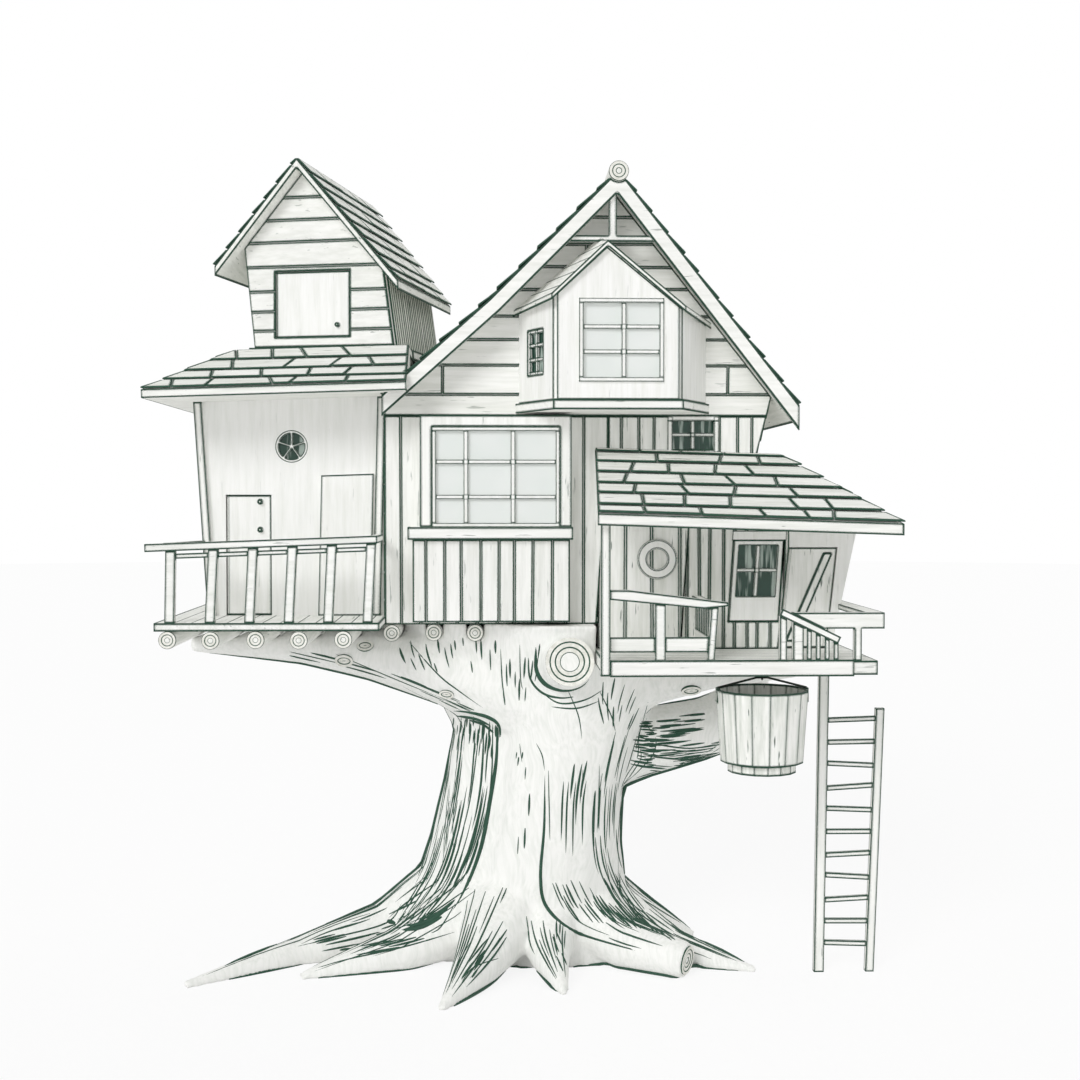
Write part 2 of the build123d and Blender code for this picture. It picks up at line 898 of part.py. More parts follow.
# Bay window: a boarded apron below, a heavy sill, and a frame with glass above
sill_left = -1510
sill_right = 320
sill_bottom = 5060
sill_front = -1430
bay_front = house_front - bay_depth
bay_frame = block(bay_left, bay_right, bay_front, house_front, bay_bottom, bay_top) - block(
    opening_left, opening_right, bay_front - 50, house_front + 50, opening_bottom, opening_top
)
save("bay_frame", bay_frame)
bay_sill = block(sill_left, sill_right, sill_front, house_front, sill_bottom, bay_bottom)
save("bay_sill", bay_sill)
apron_left = -1460
apron_right = 290
apron_front = bay_front + 20
apron_bottom = 4140
bay_apron = block(apron_left, apron_right, apron_front, house_front, apron_bottom, sill_bottom) - block(
    apron_left + bay_board,
    apron_right - bay_board,
    apron_front + bay_board,
    house_front + 50,
    apron_bottom + bay_board,
    sill_bottom + 50,
)
save("bay_apron", bay_apron)
bay_pane_front = bay_front + 60
panes.append(
    block(
        opening_left + glass_clearance,
        opening_right - glass_clearance,
        bay_pane_front,
        bay_pane_front + glass_thickness,
        opening_bottom,
        opening_top - glass_clearance,
    )
)

# Projecting upper window under the gable, with splayed sides and a roof of its own
oriel_eave_left = 7720
oriel_eave_right = 7590
oriel_apex = (670, 8290)
oriel_back_apex = (600, 8430)
oriel_roof_thickness = 70
oriel_roof_front = oriel_front - 70
oriel_eave_reach = 60
oriel_back_left = oriel_left - oriel_splay
oriel_back_right = oriel_right + oriel_splay


def chevron(left, top, right, front):
    """Section of the small roof at one depth, as thick as the roof measured plumb."""
    outline = [left, top, right]
    outline += [(x, z - oriel_roof_thickness) for x, z in reversed(outline)]
    return make_face(Polyline(*[(x, front, z) for x, z in outline], close=True))


def under_chevron(left, top, right, front):
    """Section of the space below the small roof at one depth."""
    drop = oriel_roof_thickness
    outline = [
        (left[0], oriel_bottom - 10),
        (left[0], left[1] - drop),
        (top[0], top[1] - drop),
        (right[0], right[1] - drop),
        (right[0], oriel_bottom - 10),
    ]
    return make_face(Polyline(*[(x, front, z) for x, z in outline], close=True))


front_corners = (
    (oriel_left - oriel_eave_reach, oriel_eave_left),
    oriel_apex,
    (oriel_right + oriel_eave_reach, oriel_eave_right),
)
back_corners = (
    (oriel_back_left - oriel_eave_reach, oriel_eave_left - 90),
    oriel_back_apex,
    (oriel_back_right + oriel_eave_reach, oriel_eave_right - 90),
)
oriel_roof = loft(
    [chevron(*front_corners, oriel_roof_front), chevron(*back_corners, house_front)], ruled=True
)
under_roof = loft(
    [under_chevron(*front_corners, oriel_roof_front), under_chevron(*back_corners, house_front)], ruled=True
)
gable_roof_form = front_plate(
    [(house_left, 0)] + line_between(roof_underside, house_left, right_eave[0]) + [(right_eave[0], 0)],
    gable_front - 1000,
    2000,
)
save("oriel_roof", oriel_roof & gable_roof_form)

oriel_base = flat_plate(
    [
        (oriel_left - 40, oriel_front - 40),
        (oriel_right + 40, oriel_front - 40),
        (oriel_back_right + 40, house_front),
        (oriel_back_left - 40, house_front),
    ],
    oriel_bottom,
    oriel_base_thickness,
)
save("oriel_base", oriel_base)
oriel_top = 8600
oriel_window = (404, 1236, 6820, 7630)
oriel_inner_front = oriel_front + oriel_board
oriel_front_wall = block(
    oriel_left, oriel_right, oriel_front, oriel_inner_front, oriel_floor, oriel_top
) - block(
    oriel_window[0],
    oriel_window[1],
    oriel_front - 50,
    oriel_inner_front + 50,
    oriel_window[2],
    oriel_window[3],
)
save("oriel_front_wall", oriel_front_wall & under_roof)
splay_slope = oriel_splay / (house_front - oriel_front)
inner_shift = oriel_board * math.hypot(1, splay_slope)
left_cheek = flat_plate(
    [
        (oriel_left - splay_slope * oriel_board, oriel_inner_front),
        (oriel_left - splay_slope * oriel_board + inner_shift, oriel_inner_front),
        (oriel_back_left + inner_shift, house_front),
        (oriel_back_left, house_front),
    ],
    oriel_floor,
    oriel_top - oriel_floor,
)
right_cheek = flat_plate(
    [
        (oriel_right + splay_slope * oriel_board - inner_shift, oriel_inner_front),
        (oriel_right + splay_slope * oriel_board, oriel_inner_front),
        (oriel_back_right, house_front),
        (oriel_back_right - inner_shift, house_front),
    ],
    oriel_floor,
    oriel_top - oriel_floor,
)
cheek_window = (-1520, -1200, 6880, 7380)
cheek_hole = block(-400, 400, cheek_window[0], cheek_window[1], cheek_window[2], cheek_window[3])
save("oriel_side_walls", (left_cheek - cheek_hole) & under_roof, right_cheek & under_roof)
panes.append(
    block(
        oriel_window[0] + glass_clearance,
        oriel_window[1] - glass_clearance,
        oriel_front + 40,
        oriel_front + 40 + glass_thickness,
        oriel_window[2],
        oriel_window[3] - glass_clearance,
    )
)
pane_shift = inner_shift / 2
cheek_pane = flat_plate(
    [
        (
            oriel_left - splay_slope * (cheek_window[0] - oriel_front) + pane_shift,
            cheek_window[0] + glass_clearance,
        ),
        (
            oriel_left - splay_slope * (cheek_window[0] - oriel_front) + pane_shift + glass_thickness,
            cheek_window[0] + glass_clearance,
        ),
        (
            oriel_left - splay_slope * (cheek_window[1] - oriel_front) + pane_shift + glass_thickness,
            cheek_window[1] - glass_clearance,
        ),
        (
            oriel_left - splay_slope * (cheek_window[1] - oriel_front) + pane_shift,
            cheek_window[1] - glass_clearance,
        ),
    ],
    cheek_window[2],
    cheek_window[3] - cheek_window[2] - glass_clearance,
)
panes.append(cheek_pane)
panes.append(
    block(
        small_window[0] + glass_clearance,
        small_window[1] - glass_clearance,
        house_front + 50,
        house_front + 50 + glass_thickness,
        small_window[2],
        small_window[3] - glass_clearance,
    )
)
panes.append(
    block(
        back_window[0] + glass_clearance,
        back_window[1] - glass_clearance,
        house_back - 50,
        house_back - 50 + glass_thickness,
        back_window[2],
        back_window[3] - glass_clearance,
    )
)

# King post and collar in the peak of the front gable, between the two barge boards
collar_level = 8420
collar_height = 70
king_width = 90
king_x = apex[0] - 60
peak_form = front_plate(
    [(house_left, 0)] + line_between(roof_underside, house_left, right_eave[0]) + [(right_eave[0], 0)],
    gable_front,
    barge_thickness,
)
king_post = front_plate(
    [
        (king_x - king_width / 2, collar_level),
        (king_x + king_width / 2, collar_level),
        (king_x + king_width / 2, apex[1]),
        (king_x - king_width / 2, apex[1]),
    ],
    gable_front,
    barge_thickness,
)
collar = front_plate(
    [
        (house_left, collar_level - collar_height),
        (right_eave[0], collar_level - collar_height),
        (right_eave[0], collar_level),
        (house_left, collar_level),
    ],
    gable_front,
    barge_thickness,
)
save("king_post", ((king_post + collar) & peak_form) - ridge_log - oriel_roof)

# Porch roof: a front slope and a side slope that meet at a hip
porch_roof_left = 590
porch_roof_eave_left = 516
porch_roof_head = 6080
porch_hip_head = (2690, 6010)
porch_eave_overhang = 120
porch_eave_right = porch_head_right + porch_eave_overhang
porch_eave_front = -2500
porch_eave_level = 5250
porch_roof_drop = 120
porch_eave_back = 2700
head_slope = (porch_hip_head[1] - porch_roof_head) / (porch_hip_head[0] - porch_roof_left)
eave_head = porch_roof_head + head_slope * (porch_eave_right - porch_roof_left)
front_fall = (eave_head - porch_eave_level) / (house_front - porch_eave_front)
eave_left_level = (
    porch_roof_head
    + head_slope * (porch_roof_eave_left - porch_roof_left)
    - front_fall * (house_front - porch_eave_front)
)
porch_slope_front = slope_slab(
    [
        (porch_roof_left, house_front, porch_roof_head),
        (porch_hip_head[0], house_front, porch_hip_head[1]),
        (porch_eave_right, porch_eave_front, porch_eave_level),
        (porch_roof_eave_left, porch_eave_front, eave_left_level),
    ],
    porch_roof_drop,
)
save("porch_roof_front", porch_slope_front)
porch_side_line = [
    (upper_right_at(porch_wall_top), porch_hip_head[1] + 25),
    porch_hip_head,
    (porch_eave_right, porch_eave_level),
]
porch_side_underside = [(x, z - porch_roof_drop) for x, z in porch_side_line]
porch_slope_side = front_plate(
    porch_side_line + list(reversed(porch_side_underside)), house_front, porch_eave_back - house_front
)
hip_wing = slope_slab(
    [
        (porch_hip_head[0], house_front, porch_hip_head[1]),
        (porch_eave_right, house_front, porch_eave_level),
        (porch_eave_right, porch_eave_front, porch_eave_level),
    ],
    porch_roof_drop,
)
porch_slope_side = (porch_slope_side + hip_wing) - upper_right_wall - strip_wall - house_back_wall
save("porch_roof_side", porch_slope_side)

# Porch cabin walls. The right-hand corner leans out as it rises.
porch_wall_left = house_corner + 100
# The side wall is a single board thick, so the door clears it as it opens.
side_thickness = 40
porch_door_head = 4960
porch_door_lean = 0.105
door_left_line = [
    (porch_door_foot, porch_floor_level),
    (porch_door_foot + porch_door_lean * (porch_door_head - porch_floor_level), porch_door_head),
]
door_right_line = [(x + porch_door_width, z) for x, z in door_left_line]
porch_window_width = 560
window_to_door = 10
window_end = porch_door_foot - window_to_door
porch_window = (window_end - porch_window_width, window_end, 4120, 5040)
porch_window_lean = 0.065


def porch_top_between(x_from, x_to):
    """Top edge of a wall under the strip wall and the side slope of the porch roof."""
    edge = [(upper_right_at(porch_wall_top), porch_side_underside[0][1])] + porch_side_underside[1:]
    start = upper_right_at(porch_wall_top)
    if x_to <= start:
        return [(x_from, porch_wall_top), (x_to, porch_wall_top)]
    if x_from >= start:
        return line_between(edge, x_from, x_to)
    return [(x_from, porch_wall_top), (start, porch_wall_top)] + line_between(edge, start, x_to)


porch_wall_outline = [
    (porch_wall_left, porch_floor_level),
    door_left_line[0],
    door_left_line[1],
]
porch_wall_outline += list(reversed(porch_top_between(porch_wall_left, door_left_line[1][0])))


def leaning_window(left, right, bottom, top, lean, front, depth):
    """Plate of a window's outline, whose sides lean by the same run for each unit of height."""
    shift = lean * (top - bottom)
    return front_plate(
        [(left, bottom), (right, bottom), (right + shift, top), (left + shift, top)], front, depth,
    )


porch_front_wall = front_plate(porch_wall_outline, house_front, wall_thickness)
porch_front_wall = porch_front_wall - leaning_window(*porch_window, porch_window_lean, house_front - 50, 200)
save("porch_front_wall", porch_front_wall)
porch_door_y = house_front + wall_thickness - door_setback - door_thickness / 2
porch_door_sill_clearance = 15
porch_foot = (door_left_line[0][0] + door_clearance + door_thickness / 2, porch_door_y, porch_floor_level)
porch_door_height = porch_door_head - porch_floor_level
porch_holes = pin_holes(porch_foot, porch_door_lean, porch_door_height)
porch_door_top_wall = front_plate(
    [door_left_line[1], door_right_line[1]]
    + list(reversed(porch_top_between(door_left_line[1][0], door_right_line[1][0]))),
    house_front,
    wall_thickness,
)
save("door_heads", cabin_door_head - balcony_holes, porch_door_top_wall - porch_holes)
porch_jamb = front_plate(
    [
        door_right_line[0],
        (porch_foot_right, porch_floor_level),
        (porch_head_right, height_on(porch_side_underside, porch_head_right)),
        (door_right_line[1][0], height_on(porch_side_underside, door_right_line[1][0])),
        door_right_line[1],
    ],
    house_front,
    wall_thickness,
)
save("door_jambs", cabin_door_jamb, porch_jamb)
porch_leaf = pivot_door(
    porch_foot,
    porch_door_lean,
    porch_door_width - 2 * door_clearance - door_thickness / 2,
    porch_door_height,
    porch_door_sill_clearance,
)
brace_thickness = 20
brace_width = 90
brace_front = porch_door_y - door_thickness / 2 - brace_thickness
brace = front_plate(
    [
        (porch_foot[0] + 60, porch_floor_level + 90),
        (porch_foot[0] + 60 + brace_width, porch_floor_level + 90),
        (porch_foot[0] + 580, porch_door_head - 70),
        (porch_foot[0] + 580 - brace_width, porch_door_head - 70),
    ],
    brace_front,
    brace_thickness,
)
save("porch_door", porch_leaf + brace)
porch_deck = porch_deck - porch_holes
save("porch_deck", porch_deck)

porch_right_wall = depth_wall(
    [
        (porch_foot_right - side_thickness, porch_floor_level),
        (porch_foot_right, porch_floor_level),
        (porch_head_right, height_on(porch_side_underside, porch_head_right)),
        (
            porch_head_right - side_thickness,
            height_on(porch_side_underside, porch_head_right - side_thickness),
        ),
    ]
)
save("porch_right_wall", porch_right_wall)
porch_back_wall = front_plate(
    [
        (house_corner, porch_floor_level),
        (porch_foot_right, porch_floor_level),
        (porch_head_right, height_on(porch_side_underside, porch_head_right)),
    ]
    + list(reversed(porch_top_between(house_corner, porch_head_right)))[1:],
    inside_back,
    wall_thickness,
)
save("porch_back_wall", porch_back_wall)

# Window of the porch cabin, a leaning frame with a low panel, and a head trim
window_left, window_right, window_bottom, window_top = porch_window
frame_face = 55
panel_height = 280
frame_outer = leaning_window(*porch_window, porch_window_lean, house_front - 30, 80)
frame_inner = leaning_window(
    window_left + frame_face + porch_window_lean * panel_height,
    window_right - frame_face + porch_window_lean * panel_height,
    window_bottom + panel_height,
    window_top - frame_face,
    porch_window_lean,
    house_front - 80,
    200,
)
head_trim_height = 110
head_trim = leaning_window(
    window_left + porch_window_lean * (window_top - window_bottom) - 30,
    window_right + porch_window_lean * (window_top - window_bottom) + 30,
    window_top,
    window_top + head_trim_height,
    porch_window_lean,
    house_front - 50,
    50,
)
save("window_frames", star_frame, (frame_outer - frame_inner) + head_trim)
porch_pane = leaning_window(
    window_left + frame_face + porch_window_lean * panel_height,
    window_right - frame_face + porch_window_lean * panel_height,
    window_bottom + panel_height,
    window_top - frame_face,
    porch_window_lean,
    house_front + 10,
    glass_thickness,
)
panes.append(porch_pane)
save("window_glass", *panes)

# Wide boards that stand proud of the porch cabin's wall on the left
proud_thickness = 60
proud_right = 1620
proud_panel = front_plate(
    [
        (house_corner + 60, porch_floor_level),
        (proud_right - 60, porch_floor_level),
        (proud_right + 60, 5450),
        (house_corner + 60, 5450),
    ],
    house_front - proud_thickness,
    proud_thickness,
)
save("porch_proud_boards", proud_panel)

# Ring on a peg on the proud boards
ring_x = 1290
ring_z = 4830
ring_outer = 228
ring_inner = 113
ring_depth = 60
ring_front = house_front - proud_thickness - ring_depth
ring_plane = Plane(origin=(ring_x, ring_front, ring_z), x_dir=(1, 0, 0), z_dir=(0, -1, 0))
ring = extrude(ring_plane * (Circle(ring_outer) - Circle(ring_inner)), -ring_depth)
ring = chamfer(ring.edges(), 16)
save("porch_ring", ring)

# Porch post under the left end of the eave
porch_post_left = 560
porch_post_width = 100
porch_post_front = -2360


def porch_front_underside(x, y):
    """Underside of the front slope of the porch roof."""
    head = porch_roof_head + head_slope * (x - porch_roof_left)
    return head + front_fall * (y - house_front) - porch_roof_drop


porch_post = block(
    porch_post_left,
    porch_post_left + porch_post_width,
    porch_post_front,
    porch_post_front + porch_post_width,
    porch_deck_bottom,
    6000,
)
porch_post = porch_post - porch_deck
porch_post_cut = slope_slab(
    [
        (
            porch_roof_left - 200,
            house_front,
            porch_front_underside(porch_roof_left - 200, house_front) + 2000,
        ),
        (porch_hip_head[0], house_front, porch_front_underside(porch_hip_head[0], house_front) + 2000),
        (
            porch_hip_head[0],
            porch_eave_front,
            porch_front_underside(porch_hip_head[0], porch_eave_front) + 2000,
        ),
        (
            porch_roof_left - 200,
            porch_eave_front,
            porch_front_underside(porch_roof_left - 200, porch_eave_front) + 2000,
        ),
    ],
    2000,
)
porch_post = porch_post - porch_post_cut
save("porch_post", porch_post)

# Fascia board along the front of the porch deck
porch_fascia_thickness = 40
porch_fascia = block(
    porch_post_left + porch_post_width,
    porch_right - 260,
    porch_front - porch_fascia_thickness,
    porch_front,
    porch_deck_bottom - 10,
    porch_floor_level + 15,
)
save("porch_fascia", porch_fascia)

# Balcony rails: leaning posts under a handrail that rises to the right, with a return on each side
rail_line = -1800
rail_height_left = 4985
rail_height_right = 5075
rail_depth = 120
rail_face = 85
rail_left_end = -4290
rail_right_end = -1810
baluster_count = 6
baluster_first = -4040
baluster_last = -1930
baluster_width = 105
baluster_depth = 75
baluster_lean = 55
sub_rail_face = 55
sub_rail_drop = 100
rail_slope = (rail_height_right - rail_height_left) / (rail_right_end - rail_left_end)


def rail_level(x):
    """Middle height of the balcony handrail."""
    return rail_height_left + rail_slope * (x - rail_left_end)


rails = bar((rail_left_end, rail_line, rail_level(rail_left_end)), (rail_right_end, rail_line,
            rail_level(rail_right_end)), rail_face, rail_depth)
rails = rails + bar(
    (baluster_first, rail_line, rail_level(baluster_first) - sub_rail_drop),
    (baluster_last, rail_line, rail_level(baluster_last) - sub_rail_drop),
    sub_rail_face,
    baluster_depth / 2,
)
for number in range(baluster_count):
    foot_x = baluster_first + number * (baluster_last - baluster_first) / (baluster_count - 1)
    head_x = foot_x + (baluster_lean if number else 20)
    post = bar(
        (foot_x, rail_line, floor_level - 200),
        (head_x, rail_line, rail_level(head_x)),
        baluster_width,
        baluster_depth,
    )
    rails = rails + (post & block(-5000, 0, -2500, 0, floor_level, rail_level(head_x)))
return_depth = 90
side_back = cabin_front - corner_post_depth
left_return = bar(
    (baluster_first - 20, rail_line, rail_level(baluster_first)),
    (cabin_left_head + 60, side_back, rail_level(baluster_first)),
    return_depth,
    rail_face,
)
right_return = block(
    rail_right_end - return_depth,
    rail_right_end,
    rail_line,
    house_front,
    rail_level(rail_right_end) - rail_face / 2,
    rail_level(rail_right_end) + rail_face / 2 - 4,
)
rails = rails + (left_return - left_corner_post - cabin_door_jamb) + right_return
save("balcony_rails", rails)

# Porch rails on the left: a front bay and a return to the wall, with a kickboard and close balusters
porch_rail_line = -2240
porch_rail_left = porch_post_left + porch_post_width
porch_rail_right = 1907
porch_rail_left_level = 4500
porch_rail_right_level = 4400
porch_rail_depth = 130
kick_bottom = 3890
kick_top = 4050
kick_thickness = 30
porch_end_foot = 1730
porch_end_head = 1775
porch_end_width = 75
porch_mid_x = 1195
porch_mid_width = 110
porch_post_depth = 75


def porch_rail_level(x):
    """Middle height of the porch handrail."""
    share = (x - porch_rail_left) / (porch_rail_right - porch_rail_left)
    return porch_rail_left_level + share * (porch_rail_right_level - porch_rail_left_level)


porch_rail = front_plate(
    [
        (porch_rail_left, porch_rail_left_level - 50),
        (porch_rail_right - 250, porch_rail_level(porch_rail_right - 250) - 65),
        (porch_rail_right, porch_rail_right_level - 20),
        (porch_rail_right, porch_rail_right_level + 20),
        (porch_rail_left + 200, porch_rail_left_level + 50),
        (porch_rail_left, porch_rail_left_level + 50),
    ],
    porch_rail_line - porch_rail_depth / 2,
    porch_rail_depth,
)
end_post = bar(
    (porch_end_foot, porch_rail_line, porch_floor_level),
    (porch_end_head, porch_rail_line, porch_rail_right_level),
    porch_end_width,
    porch_post_depth,
)
mid_post = block(
    porch_mid_x - porch_mid_width / 2,
    porch_mid_x + porch_mid_width / 2,
    porch_rail_line - porch_post_depth / 2,
    porch_rail_line + porch_post_depth / 2,
    porch_floor_level,
    porch_rail_level(porch_mid_x),
)
kickboard = block(
    porch_rail_left,
    porch_end_foot,
    porch_rail_line - kick_thickness / 2,
    porch_rail_line + kick_thickness / 2,
    kick_bottom,
    kick_top,
)
return_x = 1745
return_back = house_front
return_level = 4400
porch_return = block(
    return_x - 50, return_x + 50, porch_rail_line, return_back, return_level - 50, return_level + 10,
)
return_kick = block(
    return_x - kick_thickness / 2,
    return_x + kick_thickness / 2,
    porch_rail_line,
    return_back,
    kick_bottom,
    kick_top,
)
return_rails = porch_return + return_kick
return_baluster_count = 8
return_baluster = 50
for number in range(return_baluster_count):
    step = (return_back - porch_rail_line) / (return_baluster_count + 1)
    y = porch_rail_line + step * (number + 1)
    return_rails = return_rails + block(
        return_x - return_baluster / 2,
        return_x + return_baluster / 2,
        y - 30,
        y + 30,
        kick_top - 10,
        return_level,
    )
left_rails = porch_rail + end_post + mid_post + kickboard + (return_rails - proud_panel)
left_rails = left_rails & block(0, 3000, -3000, 0, porch_floor_level, 6000)
save("porch_left_rails", left_rails)

# Porch rails on the right: two posts, a sloping rail with balusters, and a wide board with a return
low_post_x = 2495
low_post_width = 75
low_post_top = 4290
next_post_x = 2655
next_post_width = 110
board_bottom = 4140
board_top = 4310
board_left = next_post_x - next_post_width / 2
board_reach = 270
board_right = porch_foot_right + board_reach
return_board_width = 190
board_depth = 120
board_front = porch_front
corner_post_x = porch_foot_right - 10
slope_start = (2460, 4320)
slope_end = (3080, 4020)
slope_face = 80
slope_thickness = 50
right_rails = block(board_left, board_right, board_front, board_front + board_depth, board_bottom, board_top)
right_rails = right_rails + block(
    board_right - return_board_width, board_right, board_front, -300, board_top - 60, board_top,
)
for post_x, post_width, post_top in (
    (low_post_x, low_post_width, low_post_top),
    (next_post_x, next_post_width, board_bottom),
    (corner_post_x, low_post_width, board_bottom),
):
    right_rails = right_rails + block(
        post_x - post_width / 2,
        post_x + post_width / 2,
        board_front,
        board_front + board_depth * 0.7,
        porch_floor_level,
        post_top,
    )
slope_y = board_front - slope_thickness / 2
right_rails = right_rails + bar(
    (slope_start[0], slope_y, slope_start[1]),
    (slope_end[0], slope_y, slope_end[1]),
    slope_face,
    slope_thickness,
)
slope_baluster_count = 4
for number in range(slope_baluster_count):
    x = next_post_x + 110 + number * 95
    level = slope_start[1] + (slope_end[1] - slope_start[1]) * (x - slope_start[0]) / (
        slope_end[0] - slope_start[0]
    )
    right_rails = right_rails + block(
        x - 25, x + 25, board_front - slope_thickness / 2, board_front, porch_floor_level + 15, level
    )
right_rails = right_rails - porch_right_wall - porch_jamb
save("porch_right_rails", right_rails)

# Ladder: two rough stiles and crooked rungs between them
ladder_y = -740
stile_width = 115
stile_depth = 80
ladder_width = 595
ladder_left_foot = porch_foot_right - 75
ladder_left_head = ladder_left_foot + 50
ladder_right_foot = ladder_left_foot + ladder_width
ladder_right_head = ladder_right_foot + 110
ladder_right_top = 3080
rung_count = 11
rung_first = 330
rung_last = 2950
rung_face = 60
rung_depth = 45
rung_tilt = 45


def stile(foot_x, head_x, head_z, width):
    """Stile from the ground to its head, cut level at both ends."""
    run = (head_x - foot_x) / head_z
    timber = bar(
        (foot_x - run * 200, ladder_y, -200),
        (head_x + run * 200, ladder_y, head_z + 200),
        width,
        stile_depth,
    )
    return timber & block(foot_x - 1000, foot_x + 1000, -2000, 1000, 0, head_z)


left_stile = stile(ladder_left_foot, ladder_left_head, porch_deck_bottom, stile_width)
right_stile = stile(ladder_right_foot, ladder_right_head, ladder_right_top, stile_width * 0.85)
save("ladder_stiles", left_stile, right_stile)
rungs = []
for number in range(rung_count):
    z = rung_first + number * (rung_last - rung_first) / (rung_count - 1)
    slant = rung_tilt * math.sin(2.4 * number + 0.6)
    rung = bar(
        (ladder_left_foot, ladder_y, z + slant / 2),
        (ladder_right_head, ladder_y, z - slant / 2),
        rung_face,
        rung_depth,
    )
    pieces = (rung - left_stile - right_stile).solids()
    rungs.append(max(pieces, key=lambda piece: piece.volume))
save("ladder_rungs", *rungs)

# Staved tub that hangs by its bail from an eye under the porch deck
tub_x = 2378
tub_y = -1700
tub_rim = 3430
tub_shoulder = 2640
tub_base = 2530
tub_top_radius = 510
tub_low_radius = 455
tub_base_radius = 375
stave_thickness = 35
stave_count = 16
tub_outside = loft(
    [
        Pos(tub_x, tub_y, tub_shoulder) * RegularPolygon(tub_low_radius, stave_count),
        Pos(tub_x, tub_y, tub_rim) * RegularPolygon(tub_top_radius, stave_count),
    ],
    ruled=True,
)
tub_inside = loft(
    [
        Pos(tub_x, tub_y, tub_shoulder + 40) * RegularPolygon(tub_low_radius - stave_thickness, stave_count),
        Pos(tub_x, tub_y, tub_rim + 1) * RegularPolygon(tub_top_radius - stave_thickness, stave_count),
    ],
    ruled=True,
)
base_band = extrude(
    Pos(tub_x, tub_y, tub_base) * RegularPolygon(tub_base_radius, stave_count), tub_shoulder - tub_base,
)
tub = (tub_outside - tub_inside) + base_band
ear_level = 3330
ear_reach = tub_top_radius - 20
bail_radius = 12
bail_top = 3555
ear_thickness = 30
bail_start = tub_rim + 15
for side in (-1, 1):
    tub = tub + block(
        tub_x + side * ear_reach - ear_thickness / 2,
        tub_x + side * ear_reach + ear_thickness / 2,
        tub_y - 45,
        tub_y + 45,
        ear_level - 40,
        bail_start,
    )
save("tub", tub)
grip_half = 60
grip_start = (tub_x - grip_half, tub_y, bail_top)
grip_end = (tub_x + grip_half, tub_y, bail_top)
bail = pole(grip_start, grip_end, bail_radius, bail_radius)
bail = bail + Pos(*grip_start) * Sphere(bail_radius) + Pos(*grip_end) * Sphere(bail_radius)
bail = bail + pole((tub_x - ear_reach, tub_y, bail_start), grip_start, bail_radius, bail_radius)
bail = bail + pole((tub_x + ear_reach, tub_y, bail_start), grip_end, bail_radius, bail_radius)
save("tub_bail", bail - tub)

# Eye bolt under the porch deck, which the bail runs through
eye_rod = 9
eye_inner = 24
eye_middle = bail_top + eye_inner - bail_radius - curved_clearance
eye_section = Plane.XZ * Pos(eye_inner + eye_rod, 0) * RegularPolygon(eye_rod, 8)
eye_ring = Pos(tub_x, tub_y, eye_middle) * Rot(0, 90, 0) * revolve(eye_section, Axis.Z)
shank_radius = 6
shank_foot = (tub_x, tub_y, eye_middle + eye_inner + eye_rod)
eye_shank = pole(shank_foot, (tub_x, tub_y, porch_deck_bottom), shank_radius, shank_radius)
save("tub_eye", eye_ring + eye_shank)
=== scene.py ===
import math
import random

import bmesh
import bpy
from mathutils import Matrix, Vector
from mathutils.bvhtree import BVHTree


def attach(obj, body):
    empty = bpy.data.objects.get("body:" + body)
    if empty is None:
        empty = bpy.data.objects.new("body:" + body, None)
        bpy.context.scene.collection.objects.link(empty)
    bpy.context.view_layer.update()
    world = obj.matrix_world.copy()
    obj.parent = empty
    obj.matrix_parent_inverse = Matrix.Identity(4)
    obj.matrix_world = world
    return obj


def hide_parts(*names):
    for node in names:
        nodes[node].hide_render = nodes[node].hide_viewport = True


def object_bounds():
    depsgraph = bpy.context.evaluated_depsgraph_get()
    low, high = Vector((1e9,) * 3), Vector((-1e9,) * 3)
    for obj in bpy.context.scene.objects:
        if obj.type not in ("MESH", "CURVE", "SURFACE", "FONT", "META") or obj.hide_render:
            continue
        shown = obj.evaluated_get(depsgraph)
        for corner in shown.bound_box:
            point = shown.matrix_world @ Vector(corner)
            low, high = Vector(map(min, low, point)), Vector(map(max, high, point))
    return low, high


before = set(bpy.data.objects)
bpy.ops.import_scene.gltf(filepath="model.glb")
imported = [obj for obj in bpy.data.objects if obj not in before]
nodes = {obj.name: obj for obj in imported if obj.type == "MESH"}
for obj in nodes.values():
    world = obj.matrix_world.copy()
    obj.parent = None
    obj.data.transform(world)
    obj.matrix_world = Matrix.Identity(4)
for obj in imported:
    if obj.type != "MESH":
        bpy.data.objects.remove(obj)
drawing_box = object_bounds()

# The place where it is looked at: a pale floor, even daylight and a camera
# at eye level with the floors of the house, well in front of the trunk.
WHITE = (1, 1, 1, 1)
DAYLIGHT_LEVEL = 0.6
FLOOR_RADIUS = 120
FLOOR_WHITE_SHARE = 0.86
EYE_PLACE = (-0.6, -18.0, 5.5)
EYE_DOWN = 1.53
EYE_RIGHT = 1.91


def feed(tree, node, inputs):
    """Give a node its inputs: each is a plain value or another node's output."""
    for label, value in inputs.items():
        if isinstance(value, bpy.types.NodeSocket):
            tree.links.new(value, node.inputs[label])
        else:
            node.inputs[label].default_value = value


def add_node(tree, kind, inputs=None, **settings):
    """A shader node with its settings and its inputs."""
    node = tree.nodes.new(kind)
    for label, value in settings.items():
        setattr(node, label, value)
    feed(tree, node, inputs or {})
    return node


def maths(tree, operation, *values, clamp=False):
    """The result of a sum on values, each a number or another node's output."""
    inputs = dict(enumerate(values))
    return add_node(tree, "ShaderNodeMath", inputs, operation=operation, use_clamp=clamp).outputs[0]


